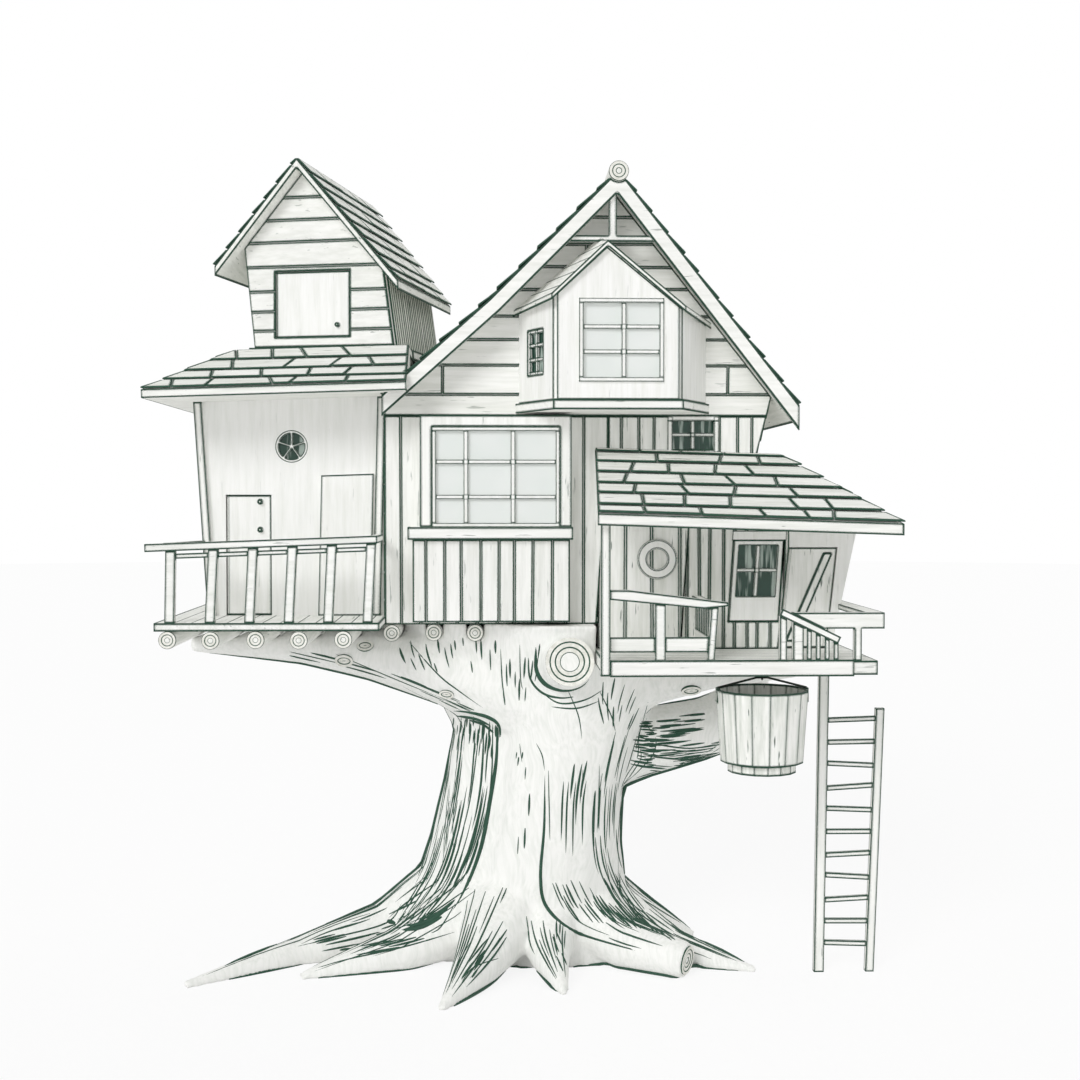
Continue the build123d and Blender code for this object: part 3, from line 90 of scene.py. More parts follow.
def seen_plainly(tree):
    """1 for what is seen by the camera itself, in a reflection or through glass."""
    rays = tree.nodes.new("ShaderNodeLightPath").outputs
    seen = maths(tree, "MAXIMUM", rays["Is Camera Ray"], rays["Is Glossy Ray"])
    return maths(tree, "MAXIMUM", seen, rays["Is Transmission Ray"])


view = bpy.data.cameras.new("front_view")
view.lens = 50
view.sensor_width = 36
view.clip_end = 400
camera = bpy.data.objects.new("front_view", view)
camera.location = EYE_PLACE
camera.rotation_euler = (math.radians(90 - EYE_DOWN), 0, math.radians(-EYE_RIGHT))
bpy.context.scene.collection.objects.link(camera)
bpy.context.scene.camera = camera

daylight = bpy.data.worlds.new("daylight")
daylight.use_nodes = True
sky = daylight.node_tree
lit_sky = sky.nodes["Background"]
feed(sky, lit_sky, {"Color": WHITE, "Strength": DAYLIGHT_LEVEL})
seen_sky = add_node(sky, "ShaderNodeBackground", {"Color": WHITE, "Strength": 1.0})
sky_choice = add_node(sky, "ShaderNodeMixShader",
                      {0: seen_plainly(sky), 1: lit_sky.outputs[0], 2: seen_sky.outputs[0]})
feed(sky, sky.nodes["World Output"], {"Surface": sky_choice.outputs[0]})
bpy.context.scene.world = daylight


def soft_sun(name, strength, spread, turn):
    """A wide, soft sun, turned by three angles in degrees."""
    light = bpy.data.lights.new(name, "SUN")
    light.energy = strength
    light.angle = math.radians(spread)
    holder = bpy.data.objects.new(name, light)
    holder.rotation_euler = [math.radians(angle) for angle in turn]
    bpy.context.scene.collection.objects.link(holder)


soft_sun("window_light", 1.22, 25, (60, 0, -28))
soft_sun("room_light", 0.35, 60, (60, 0, 130))

ground_mesh = bmesh.new()
bmesh.ops.create_circle(ground_mesh, cap_ends=True, segments=96, radius=FLOOR_RADIUS)
ground_data = bpy.data.meshes.new("floor_sheet")
ground_mesh.to_mesh(ground_data)
ground_mesh.free()
floor_sheet = bpy.data.objects.new("floor_sheet", ground_data)
bpy.context.scene.collection.objects.link(floor_sheet)
floor_paint = bpy.data.materials.new("floor_paint")
floor_paint.use_nodes = True
ground_data.materials.append(floor_paint)
floor_tree = floor_paint.node_tree
floor_shader = floor_tree.nodes["Principled BSDF"]
feed(floor_tree, floor_shader, {"Base Color": (0.96, 0.96, 0.96, 1), "Roughness": 0.9})
bright = add_node(floor_tree, "ShaderNodeEmission", {"Color": WHITE})
floor_share = maths(floor_tree, "MULTIPLY", seen_plainly(floor_tree), FLOOR_WHITE_SHARE)
floor_mix = add_node(floor_tree, "ShaderNodeMixShader",
                     {0: floor_share, 1: floor_shader.outputs[0], 2: bright.outputs[0]})
feed(floor_tree, floor_tree.nodes["Material Output"], {"Surface": floor_mix.outputs[0]})

bpy.context.scene.view_settings.view_transform = "Standard"


# Timber finishes used all over the house: sawn wood under a thin pale lime wash,
# with dark green paint left in the joints and worn along the edges of each piece.
def from_hex(code):
    """A colour written as on a paint chart, as the numbers a shader takes."""
    parts = [int(code[place:place + 2], 16) / 255 for place in (1, 3, 5)]
    return [part / 12.92 if part <= 0.04045 else ((part + 0.055) / 1.055) ** 2.4 for part in parts] + [1.0]


INK = from_hex("#183D2D")


def new_group(name, inputs, outputs):
    """An empty node group with named sockets, given as (name, kind, value)."""
    group = bpy.data.node_groups.new(name, "ShaderNodeTree")
    for label, kind, value in inputs:
        socket = group.interface.new_socket(name=label, in_out="INPUT", socket_type=kind)
        if value is not None:
            socket.default_value = value
    for label, kind in outputs:
        group.interface.new_socket(name=label, in_out="OUTPUT", socket_type=kind)
    return group, group.nodes.new("NodeGroupInput"), group.nodes.new("NodeGroupOutput")


def new_material(name):
    """An empty material, with its node tree and its shader."""
    material = bpy.data.materials.new(name)
    material.use_nodes = True
    return material, material.node_tree, material.node_tree.nodes["Principled BSDF"]


def object_place(tree):
    """Where a point of the surface is, in metres."""
    return tree.nodes.new("ShaderNodeTexCoord").outputs["Object"]


def patches(tree, vector, scale, detail=2.0, roughness=0.5):
    """Soft uneven patches, from 0 to 1."""
    inputs = {"Vector": vector, "Scale": scale, "Detail": detail, "Roughness": roughness}
    return add_node(tree, "ShaderNodeTexNoise", inputs).outputs["Fac"]


def stretched(tree, vector, scale, turn=(0, 0, 0)):
    """A place in the wood, turned and then scaled on each axis."""
    inputs = {"Vector": vector, "Rotation": turn, "Scale": scale}
    return add_node(tree, "ShaderNodeMapping", inputs).outputs[0]


def ramp(tree, value, none, full, kind="SMOOTHSTEP"):
    """0 where a value is at the first level and 1 where it is at the second."""
    inputs = {"Value": value, "From Min": none, "From Max": full}
    return add_node(tree, "ShaderNodeMapRange", inputs, interpolation_type=kind).outputs["Result"]


def blend(tree, first, second, share):
    """The colour between two, by the share of the second."""
    inputs = {"Factor": share, "A": first, "B": second}
    return add_node(tree, "ShaderNodeMix", inputs, data_type="RGBA").outputs["Result"]


def relief(tree, height, strength, distance):
    """The tilt of a surface that a height gives it."""
    inputs = {"Height": height, "Strength": strength, "Distance": distance}
    return add_node(tree, "ShaderNodeBump", inputs).outputs["Normal"]


def sawn_grain_group():
    """Long streaks along the local X of the vector it is given, with a few dark checks."""
    group, start, end = new_group(
        "sawn_grain",
        [("Vector", "NodeSocketVector", None), ("Tone", "NodeSocketFloat", 0.0)],
        [("Streaks", "NodeSocketFloat"), ("Checks", "NodeSocketFloat"), ("Relief", "NodeSocketFloat")],
    )
    tone = start.outputs["Tone"]
    own = add_node(group, "ShaderNodeCombineXYZ", {0: tone, 1: tone, 2: tone})
    shift = {0: own.outputs[0], 1: (37.0, 23.0, 51.0), 2: start.outputs["Vector"]}
    moved = add_node(group, "ShaderNodeVectorMath", shift, operation="MULTIPLY_ADD").outputs[0]
    streaks = patches(group, moved, 1.0, 5.0, 0.62)
    checks = ramp(group, patches(group, moved, 2.1, 3.0), 0.66, 0.72)
    feed(group, end, {"Streaks": streaks, "Checks": checks, "Relief": maths(group, "SUBTRACT", streaks, checks)})
    return group


def edge_paint_group():
    """A mask that is 1 along the edges and joints of a piece, as wide as a brush stroke."""
    group, start, end = new_group(
        "edge_paint",
        [("Width", "NodeSocketFloat", 0.012)],
        [("Edge", "NodeSocketFloat")],
    )
    rounded = add_node(group, "ShaderNodeBevel", {"Radius": start.outputs["Width"]}, samples=8)
    flat = group.nodes.new("ShaderNodeNewGeometry")
    turn = add_node(group, "ShaderNodeVectorMath", {0: rounded.outputs[0], 1: flat.outputs["Normal"]},
                    operation="DOT_PRODUCT")
    feed(group, end, {"Edge": ramp(group, turn.outputs["Value"], 0.9985, 0.991)})
    return group


sawn_grain = sawn_grain_group()
edge_paint = edge_paint_group()
GRAIN_TURNS = {"x": (0, 0, 0), "y": (0, 0, math.pi / 2), "z": (0, math.pi / 2, 0)}
GRAIN_STRETCH = (1.3, 16.0, 16.0)
PLANK_JOINT = (0.009, 0.005)
TIMBER_ROUGHNESS = (0.65, 0.87)


def plank_joints(tree, place, axis, width):
    """A mask of the joints between planks of a width, painted on the level faces alone."""
    parts = add_node(tree, "ShaderNodeSeparateXYZ", {0: place})
    near = maths(tree, "PINGPONG", parts.outputs[axis], width / 2)
    facing = tree.nodes.new("ShaderNodeNewGeometry").outputs["True Normal"]
    rise = add_node(tree, "ShaderNodeSeparateXYZ", {0: facing}).outputs["Z"]
    level = maths(tree, "GREATER_THAN", maths(tree, "ABSOLUTE", rise), 0.5)
    return maths(tree, "MULTIPLY", ramp(tree, near, *PLANK_JOINT), level)


def limed_timber(name, colour, shade, grain, edge, checks=0.5, planks=None):
    """Sawn timber under lime wash. Grain runs along x, y or z, and edge is the width of the edge paint.

    Planks gives the axis across laid planks, and their width, where their joints are painted on.
    """
    material, tree, shader = new_material(name)
    place = object_place(tree)
    turned = {"Vector": place, "Rotation": GRAIN_TURNS[grain]}
    lay = add_node(tree, "ShaderNodeMapping", turned, vector_type="TEXTURE")
    tone = add_node(tree, "ShaderNodeAttribute", attribute_name="tone").outputs["Fac"]
    inputs = {"Vector": stretched(tree, lay.outputs[0], GRAIN_STRETCH), "Tone": tone}
    sawn = add_node(tree, "ShaderNodeGroup", inputs, node_tree=sawn_grain).outputs
    soft = ramp(tree, sawn["Streaks"], 0.38, 0.72, "LINEAR")
    uneven = maths(tree, "MULTIPLY_ADD", tone, 0.35, soft, clamp=True)
    wash = blend(tree, from_hex(colour), from_hex(shade), uneven)
    finish = blend(tree, wash, INK, maths(tree, "MULTIPLY", sawn["Checks"], checks))
    marks = []
    if edge:
        marks.append(add_node(tree, "ShaderNodeGroup", {"Width": edge}, node_tree=edge_paint).outputs["Edge"])
    if planks:
        marks.append(plank_joints(tree, place, *planks))
    if marks:
        mark = maths(tree, "MAXIMUM", *marks) if len(marks) == 2 else marks[0]
        finish = blend(tree, finish, INK, mark)
    least, most = TIMBER_ROUGHNESS
    dull = add_node(tree, "ShaderNodeMapRange", {"Value": sawn["Streaks"], "To Min": least, "To Max": most})
    feed(tree, shader, {"Base Color": finish, "Roughness": dull.outputs["Result"],
                        "Normal": relief(tree, sawn["Relief"], 0.35, 0.004)})
    return material


def patchy_finish(name, colour, other, scale, **plain):
    """Two close colours in soft patches. Plain gives the shader its own even values."""
    material, tree, shader = new_material(name)
    uneven = patches(tree, object_place(tree), scale)
    feed(tree, shader, {"Base Color": blend(tree, from_hex(colour), from_hex(other), uneven), **plain})
    return material


# The dark green paint in the joints between boards.
joint_paint = patchy_finish("dark_joint", "#183D2D", "#2A5441", 9.0, Roughness=0.7)


def finish_nodes(material, *names):
    """Give some nodes of the frame their finish."""
    for name in names:
        data = nodes[name].data
        data.materials.clear()
        data.materials.append(material)


def islands_of(bm):
    """The separate boards in a sheet, each as a list of its faces."""
    left = set(bm.faces)
    found = []
    for first in bm.faces:
        if first not in left:
            continue
        left.discard(first)
        queue = [first]
        board = []
        while queue:
            face = queue.pop()
            board.append(face)
            for edge in face.edges:
                for other in edge.link_faces:
                    if other in left:
                        left.discard(other)
                        queue.append(other)
        found.append(board)
    return found


def cut_sheet(bm, faces, point, normal):
    """Saw through some faces along a plane and part them there."""
    geometry = set(faces)
    for face in faces:
        geometry.update(face.edges)
        geometry.update(face.verts)
    cut = bmesh.ops.bisect_plane(bm, geom=list(geometry), dist=0.0001, plane_co=point, plane_no=normal)
    seam = [item for item in cut["geom_cut"] if isinstance(item, bmesh.types.BMEdge) and len(item.link_faces) > 1]
    if seam:
        bmesh.ops.split_edges(bm, edges=seam)


def trimmed(point):
    """A point, brought back to the overall size of the drawing if it is well past it."""
    low, high = drawing_box
    spare = (0.006, 0.006, 0.0)
    return [min(max(point[place], low[place] - spare[place]), high[place] + spare[place]) for place in range(3)]


def placed(name, bm, materials):
    """Turn a finished bmesh into a piece that is fixed to the house."""
    for v in bm.verts:
        v.co = trimmed(v.co)
    data = bpy.data.meshes.new(name)
    bm.to_mesh(data)
    bm.free()
    for material in materials:
        data.materials.append(material)
    piece = bpy.data.objects.new(name, data)
    bpy.context.scene.collection.objects.link(piece)
    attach(piece, "house")
    return piece


BOARD_WOBBLE = 0.15
BOARD_SLANT = 0.5


def boards_on(name, node, facing, along, pitch, material, slot, seed, thick=0.018, gap=0.009, joints=0.0,
              lap=0.0, worn=0.008, alike=0.97, run=0.0, skew=2.0, keep=None):
    """Boards nailed over one side of a node. Along is the way they run, across it they are a pitch wide.

    Joints is how often a board has a joint in its length, run is how far apart the joints are in courses,
    and lap is how far the lower edge of a board stands out over the next one.
    """
    rng = random.Random(seed)
    facing = Vector(facing).normalized()
    along = Vector(along).normalized()
    across = along.cross(facing).normalized()
    if across.z < -0.05:
        across = -across
    # The side of the node that is boarded, as one sheet.
    bm = bmesh.new()
    bm.from_mesh(nodes[node].data)
    tone = bm.faces.layers.float.new("tone")
    bmesh.ops.remove_doubles(bm, verts=bm.verts[:], dist=0.0004)
    bm.normal_update()
    spare = [f for f in bm.faces if f.normal.dot(facing) < alike or (keep and not keep(f.calc_center_median()))]
    bmesh.ops.delete(bm, geom=spare, context="FACES")
    bmesh.ops.dissolve_limit(bm, angle_limit=0.02, verts=bm.verts[:], edges=bm.edges[:])
    # The joints between boards, then the ones in their length.
    reach = [v.co.dot(across) for v in bm.verts]
    middle = sum((v.co for v in bm.verts), Vector()) / len(bm.verts)
    level = min(reach) + pitch * rng.uniform(0.7, 1.0)
    while level < max(reach) - 0.35 * pitch:
        point = middle + across * (level - middle.dot(across))
        normal = Matrix.Rotation(math.radians(rng.uniform(-BOARD_SLANT, BOARD_SLANT)), 3, facing) @ across
        cut_sheet(bm, bm.faces[:], point, normal)
        level += pitch * rng.uniform(1 - BOARD_WOBBLE, 1 + BOARD_WOBBLE)
    number = bm.faces.layers.int.new("board")
    boards = islands_of(bm)
    for place, board in enumerate(boards):
        for face in board:
            face[number] = place
    spans = [[v.co.dot(along) for f in board for v in f.verts] for board in boards]
    for place, span in enumerate(spans):
        length = max(span) - min(span)
        count = int(length / run) if run else int(rng.random() < joints and length > 3 * pitch)
        shift = rng.uniform(-0.4, 0.4)
        for cut in range(count):
            at = min(span) + length * (cut + 1 + shift + rng.uniform(-0.12, 0.12)) / (count + 1)
            point = middle + along * (at - middle.dot(along))
            normal = Matrix.Rotation(math.radians(rng.uniform(-skew, skew)), 3, facing) @ along
            cut_sheet(bm, [f for f in bm.faces if f[number] == place], point, normal)
    for board in islands_of(bm):
        value = rng.random()
        for face in board:
            face[tone] = value
    # The gap round each board, its thickness, and how it leans over the next one.
    rim = bmesh.ops.inset_region(bm, faces=bm.faces[:], thickness=gap / 2, use_boundary=True, use_even_offset=True)
    bmesh.ops.delete(bm, geom=rim["faces"], context="FACES")
    for board in islands_of(bm):
        corners = {v for f in board for v in f.verts}
        heights = [v.co.dot(across) for v in corners]
        depth = max(max(heights) - min(heights), 0.001)
        lean = lap * rng.uniform(0.7, 1.25)
        for v in corners:
            v.co += facing * (thick + lean * (1 - (v.co.dot(across) - min(heights)) / depth))
    bmesh.ops.solidify(bm, geom=bm.faces[:], thickness=thick * 0.98)
    bmesh.ops.recalc_face_normals(bm, faces=bm.faces[:])
    for face in bm.faces:
        if face.normal.dot(facing) < 0.6:
            face.material_index = 1
    # Worn outer edges.
    arris = []
    for edge in bm.edges:
        if len(edge.link_faces) == 2:
            turns = sorted(face.normal.dot(facing) for face in edge.link_faces)
            if turns[1] > 0.8 and turns[0] < 0.6:
                arris.append(edge)
    made = bmesh.ops.bevel(bm, geom=arris, offset=worn, offset_type="OFFSET", segments=1, profile=0.5,
                           affect="EDGES", clamp_overlap=False, material=-1)
    for face in made["faces"]:
        face.material_index = 1
    placed(name, bm, [material, joint_paint])


# Trunk: one living tree trunk with its limbs and roots, pale bark with deep dark cracks
# that run up the trunk and out along each limb. It carries the house on its limbs.
BARK_VOXEL = 0.034
BARK_SOFTENING = 5
BARK_FOOT = 0.05
BARK_HEAD = 4.0


def shown_mesh(piece):
    """A mesh of a piece as it shows, with its modifiers or its curve's thickness made real."""
    graph = bpy.context.evaluated_depsgraph_get()
    return bpy.data.meshes.new_from_object(piece.evaluated_get(graph), depsgraph=graph)


def bark_finish():
    """Pale bark with a fine fibre that bends a little as it runs up the stem."""
    material, tree, shader = new_material("pale_bark")
    place = object_place(tree)
    bend = add_node(tree, "ShaderNodeTexNoise", {"Vector": place, "Scale": 1.1})
    push = add_node(tree, "ShaderNodeVectorMath", {0: bend.outputs["Color"], 1: (0.5, 0.5, 0.5), 2: place},
                    operation="MULTIPLY_ADD")
    fibre = patches(tree, stretched(tree, push.outputs[0], (9.0, 9.0, 0.9)), 3.0, 6.0)
    wash = blend(tree, from_hex("#FAFAF7"), from_hex("#EBEDE8"), ramp(tree, fibre, 0.4, 0.75, "LINEAR"))
    feed(tree, shader, {"Base Color": wash, "Roughness": 0.85, "Normal": relief(tree, fibre, 0.3, 0.01)})
    return material


bark = bark_finish()
trunk_bm = bmesh.new()
trunk_bm.from_mesh(nodes["trunk"].data)
bmesh.ops.remove_doubles(trunk_bm, verts=trunk_bm.verts[:], dist=0.0005)
trunk_piece = placed("trunk_bark", trunk_bm, [bark])
remesh = trunk_piece.modifiers.new("remesh", "REMESH")
remesh.mode = "VOXEL"
remesh.voxel_size = BARK_VOXEL
trunk_data = shown_mesh(trunk_piece)
trunk_piece.modifiers.clear()
trunk_piece.data = trunk_data
trunk_bm = bmesh.new()
trunk_bm.from_mesh(trunk_data)
soft_part = [v for v in trunk_bm.verts if BARK_FOOT < v.co.z < BARK_HEAD]
for _ in range(BARK_SOFTENING):
    bmesh.ops.smooth_vert(trunk_bm, verts=soft_part, factor=0.5, use_axis_x=True, use_axis_y=True, use_axis_z=True)
trunk_bm.to_mesh(trunk_data)
trunk_bm.free()
trunk_data.polygons.foreach_set("use_smooth", [True] * len(trunk_data.polygons))
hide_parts("trunk")

# Deep cracks in the bark, dark at the bottom. Each follows the surface of the trunk from a start
# to an end, found by looking along a line from outside, and tapers at both ends.
trunk_tree = BVHTree.FromObject(trunk_piece, bpy.context.evaluated_depsgraph_get())
eye = Vector(EYE_PLACE)
CRACK_PLANE = -0.8
CRACK_SINK = 0.45
SPLIT_STEP = 0.17
FAR_STEP = 0.3
SHEAF_STEPS = 18


def seen_from_front(x, z):
    """The point of the trunk that the camera sees at an x and z on the plane of the cracks, and its normal."""
    target = Vector((x, CRACK_PLANE, z))
    return trunk_tree.ray_cast(eye, (target - eye).normalized())[:2]


def smooth_route(points, steps):
    """More points along a route, on a smooth line through the ones given."""
    route = []
    for place in range(len(points) - 1):
        before = points[max(place - 1, 0)]
        start, end = points[place], points[place + 1]
        after = points[min(place + 2, len(points) - 1)]
        for step in range(steps):
            t = step / steps
            route.append(0.5 * (2 * start + (end - before) * t + (2 * before - 5 * start + 4 * end - after) * t * t
                                + (3 * start - before - 3 * end + after) * t ** 3))
    return route + [points[-1]]


def crack_curves(name, routes):
    """Tapered dark cracks, each given as surface points and a widest half width."""
    data = bpy.data.curves.new(name, "CURVE")
    data.dimensions = "3D"
    data.bevel_depth = 1.0
    data.bevel_resolution = 1
    data.use_fill_caps = True
    for points, width in routes:
        if len(points) < 3:
            continue
        spline = data.splines.new("POLY")
        spline.points.add(len(points) - 1)
        for place, point in enumerate(points):
            spline.points[place].co = (*point, 1)
            share = place / (len(points) - 1)
            spline.points[place].radius = width * max(math.sin(math.pi * min(0.08 + share * 0.92, 1)) ** 0.6, 0.12)
    holder = bpy.data.objects.new(name, data)
    bpy.context.scene.collection.objects.link(holder)
    mesh = shown_mesh(holder)
    bpy.data.objects.remove(holder)
    bm = bmesh.new()
    bm.from_mesh(mesh)
    bpy.data.meshes.remove(mesh)
    placed(name, bm, [joint_paint])


# Cracks seen from the front, as x and z on a plane 0.8 m before the middle of the trunk.
front_cracks_and_shade_hatch = [
    ([(-0.52, 2.98), (-0.53, 2.52), (-0.6, 2.06), (-0.71, 1.49), (-0.91, 0.98), (-1.16, 0.58)], 0.032),
    ([(-1.08, 3.08), (-0.85, 3.06), (-0.62, 3.0), (-0.5, 2.9), (-0.49, 2.7)], 0.034),
    ([(-1.0, 3.02), (-0.75, 2.98), (-0.56, 2.88)], 0.036),
    ([(-0.85, 2.97), (-0.68, 2.92), (-0.54, 2.8)], 0.032),
    ([(-1.08, 0.8), (-1.3, 0.66), (-1.55, 0.6), (-1.8, 0.66)], 0.036),
    ([(-1.15, 0.7), (-1.4, 0.58), (-1.65, 0.54)], 0.036),
    ([(-1.0, 0.9), (-1.2, 0.74), (-1.45, 0.66)], 0.030),
    ([(-0.07, 3.82), (-0.07, 3.55), (0.04, 3.38), (0.25, 3.31), (0.46, 3.36), (0.6, 3.52)], 0.042),
    ([(-0.16, 3.7), (-0.14, 3.45), (0.0, 3.28), (0.22, 3.22), (0.45, 3.25)], 0.020),
    ([(-0.02, 3.3), (0.2, 3.16), (0.5, 3.2), (0.75, 3.35)], 0.013),
    ([(0.1, 3.12), (0.4, 3.1), (0.7, 3.2)], 0.012),
    ([(0.03, 2.35), (0.02, 1.72), (-0.02, 1.15), (0.05, 0.80), (0.36, 0.52), (0.88, 0.34), (1.4, 0.2)], 0.026),
    ([(0.07, 2.4), (0.08, 1.95), (0.09, 1.5)], 0.009),
    ([(0.66, 2.46), (0.65, 2.0), (0.63, 1.6)], 0.009),
    ([(0.78, 2.2), (0.75, 1.75), (0.73, 1.38)], 0.008),
    ([(0.47, 2.4), (0.46, 2.2), (0.45, 2.05)], 0.007),
    ([(-0.26, 2.7), (-0.25, 2.6), (-0.23, 2.45)], 0.007),
    ([(-0.07, 2.7), (0.0, 2.55), (0.03, 2.35)], 0.008),
    ([(-1.0, 2.95), (-1.12, 2.1), (-1.3, 1.4)], 0.010),
    ([(-0.88, 3.0), (-1.02, 2.1), (-1.16, 1.5)], 0.011),
    ([(-0.71, 2.98), (-0.83, 2.06), (-1.0, 1.4)], 0.012),
    ([(-0.6, 2.9), (-0.64, 2.5), (-0.66, 2.2)], 0.012),
    ([(-0.66, 2.2), (-0.78, 1.6), (-0.95, 1.1)], 0.010),
    ([(-0.83, 1.26), (-1.28, 0.75), (-1.8, 0.55)], 0.012),
    ([(-1.0, 0.86), (-1.17, 0.58), (-1.3, 0.5)], 0.010),
    ([(-1.62, 0.86), (-1.8, 0.63), (-2.43, 0.46), (-2.9, 0.35)], 0.012),
    ([(-1.3, 1.03), (-1.5, 0.76), (-1.7, 0.66)], 0.009),
    ([(-1.0, 0.52), (-1.6, 0.35), (-2.3, 0.2), (-2.77, 0.06)], 0.012),
    ([(-0.83, 0.4), (-1.0, 0.1), (-1.1, -0.2)], 0.011),
    ([(-0.49, 0.21), (-0.8, 0.1), (-0.95, -0.1)], 0.009),
    ([(0.2, 0.96), (0.42, 0.63), (0.86, 0.43)], 0.009),
    ([(0.54, 1.03), (0.76, 0.69), (1.2, 0.46)], 0.010),
    ([(0.83, 1.15), (1.0, 0.8), (1.43, 0.46)], 0.010),
    ([(0.7, 1.49), (0.8, 1.03), (0.95, 0.8)], 0.009),
    ([(1.1, 2.8), (1.02, 2.52), (0.95, 2.3)], 0.011),
    ([(1.02, 2.92), (0.9, 2.52), (0.85, 2.2)], 0.010),
    ([(1.23, 3.2), (1.11, 2.75), (1.08, 2.6)], 0.010),
    ([(1.2, 2.7), (1.7, 2.63), (2.1, 2.7)], 0.012),
    ([(1.15, 2.55), (1.6, 2.5), (2.05, 2.52)], 0.010),
    ([(1.12, 2.42), (1.7, 2.37), (2.15, 2.42)], 0.012),
    ([(-0.48, 3.8), (-0.46, 3.4), (-0.42, 3.15)], 0.010),
    ([(-0.26, 3.85), (-0.25, 3.45), (-0.22, 3.3)], 0.009),
    ([(-0.03, 3.85), (-0.07, 3.5), (-0.09, 3.4)], 0.008),
    ([(0.66, 3.3), (0.8, 3.0), (0.85, 2.8)], 0.010),
    ([(-1.55, 3.9), (-1.2, 3.5), (-0.95, 3.3), (-0.6, 3.05)], 0.012),
    ([(-2.4, 3.75), (-1.7, 3.45), (-1.1, 3.2)], 0.010),
    ([(0.3, 3.3), (0.42, 3.0), (0.46, 2.7)], 0.008),
]
# Sheaves of fine cracks, between two lines on the same plane: how many, and how long against the lines. They crowd
# where shade falls, behind the left lobe, under the limbs and the floor and over the low root flares, so they are
# partly painted shade.
left_flank = ([(-1.06, 3.03), (-1.21, 2.06), (-1.40, 1.26), (-1.80, 0.57)],
              [(-0.56, 2.95), (-0.60, 2.06), (-0.88, 1.14), (-1.29, 0.63)])
crack_and_shade_sheaves = [
    (*left_flank, 26, 0.5),
    (*left_flank, 14, 0.22),
    ([(1.10, 2.98), (0.89, 2.17), (0.89, 1.37), (1.20, 0.80), (1.65, 0.42)],
     [(0.70, 2.75), (0.58, 2.06), (0.62, 1.26), (0.92, 0.68), (1.35, 0.34)], 26, 0.24),
    ([(-1.45, 1.0), (-2.0, 0.72), (-2.7, 0.5)], [(-1.1, 0.45), (-1.7, 0.32), (-2.5, 0.2)], 16, 0.4),
    ([(1.2, 2.72), (1.7, 2.66), (2.2, 2.74)], [(1.2, 2.36), (1.7, 2.34), (2.2, 2.4)], 12, 0.5),
    ([(-0.55, 0.55), (-0.8, 0.25), (-1.05, -0.1)], [(-0.35, 0.6), (-0.55, 0.3), (-0.75, 0.0)], 6, 0.4),
    ([(0.0, 0.6), (0.12, 0.3), (0.25, 0.0)], [(0.16, 0.6), (0.25, 0.35), (0.36, 0.1)], 4, 0.4),
    ([(-2.9, 3.86), (-2.0, 3.62), (-1.3, 3.35), (-0.75, 3.12)],
     [(-2.9, 3.72), (-2.0, 3.5), (-1.3, 3.24), (-0.8, 3.0)], 14, 0.3),
    ([(-0.5, 3.85), (-0.48, 3.4), (-0.44, 3.1)], [(0.0, 3.85), (-0.05, 3.5), (-0.1, 3.2)], 9, 0.45),
    ([(-1.7, 3.92), (-1.66, 3.74), (-1.55, 3.52)], [(-0.5, 3.92), (-0.5, 3.74), (-0.5, 3.5)], 16, 0.6),
    ([(-1.02, 3.05), (-1.04, 2.85), (-1.08, 2.6)], [(-0.5, 2.96), (-0.5, 2.75), (-0.52, 2.5)], 24, 0.5),
    ([(1.10, 3.0), (1.4, 3.0), (1.9, 3.05)], [(0.98, 2.42), (1.4, 2.36), (1.9, 2.42)], 40, 0.45),
    ([(1.12, 2.95), (1.25, 2.95), (1.36, 2.97)], [(1.0, 2.45), (1.18, 2.4), (1.3, 2.4)], 26, 0.6),
    ([(0.25, 2.5), (0.22, 2.0), (0.2, 1.3)], [(0.6, 2.5), (0.5, 2.0), (0.5, 1.2)], 7, 0.7),
    ([(0.1, 1.1), (0.2, 0.85), (0.34, 0.62)], [(0.9, 1.15), (1.12, 0.8), (1.5, 0.44)], 24, 0.6),
    ([(-0.3, 2.6), (-0.35, 2.2), (-0.4, 1.4)], [(-0.1, 2.6), (-0.12, 2.2), (-0.15, 1.4)], 7, 0.14),
    ([(0.6, 3.5), (0.62, 3.2), (0.7, 2.9)], [(1.35, 3.42), (1.15, 3.1), (1.0, 2.8)], 11, 0.5),
]


def at_step(line, step):
    """The place on a line of points at a step of a sheaf."""
    place = step * (len(line) - 1) / SHEAF_STEPS
    low = int(place)
    return line[low].lerp(line[min(low + 1, len(line) - 1)], place - low)


rng = random.Random(76)
for first, last, count, reach in crack_and_shade_sheaves:
    first = smooth_route([Vector((x, 0.0, z)) for x, z in first], 6)
    last = smooth_route([Vector((x, 0.0, z)) for x, z in last], 6)
    for number in range(count):
        share = (number + rng.uniform(0.2, 0.8)) / count
        length = max(4, round(reach * rng.uniform(0.7, 1.3) * SHEAF_STEPS))
        begin = rng.randint(0, max(1, SHEAF_STEPS - length * 2 // 3))
        steps = range(begin, min(begin + length, SHEAF_STEPS + 1))
        spots = [at_step(first, step).lerp(at_step(last, step), share) for step in steps]
        line = [(spot.x, spot.z) for spot in spots]
        # The lines of each sheaf, partly painted shade, join the cracks seen from the front.
        if len(line) >= 3:
            front_cracks_and_shade_hatch.append((line[::2] if len(line) > 6 else line, rng.uniform(0.010, 0.018)))
routes = []
for line, width in front_cracks_and_shade_hatch:
    found = []
    for x, z in smooth_route([Vector((x, z)) for x, z in line], 8):
        point, normal = seen_from_front(x, z)
        if point is None:
            continue
        if found and (point - found[-1]).length > SPLIT_STEP:
            routes.append((found, width))
            found = []
        found.append(point - normal * width * CRACK_SINK)
    routes.append((found, width))

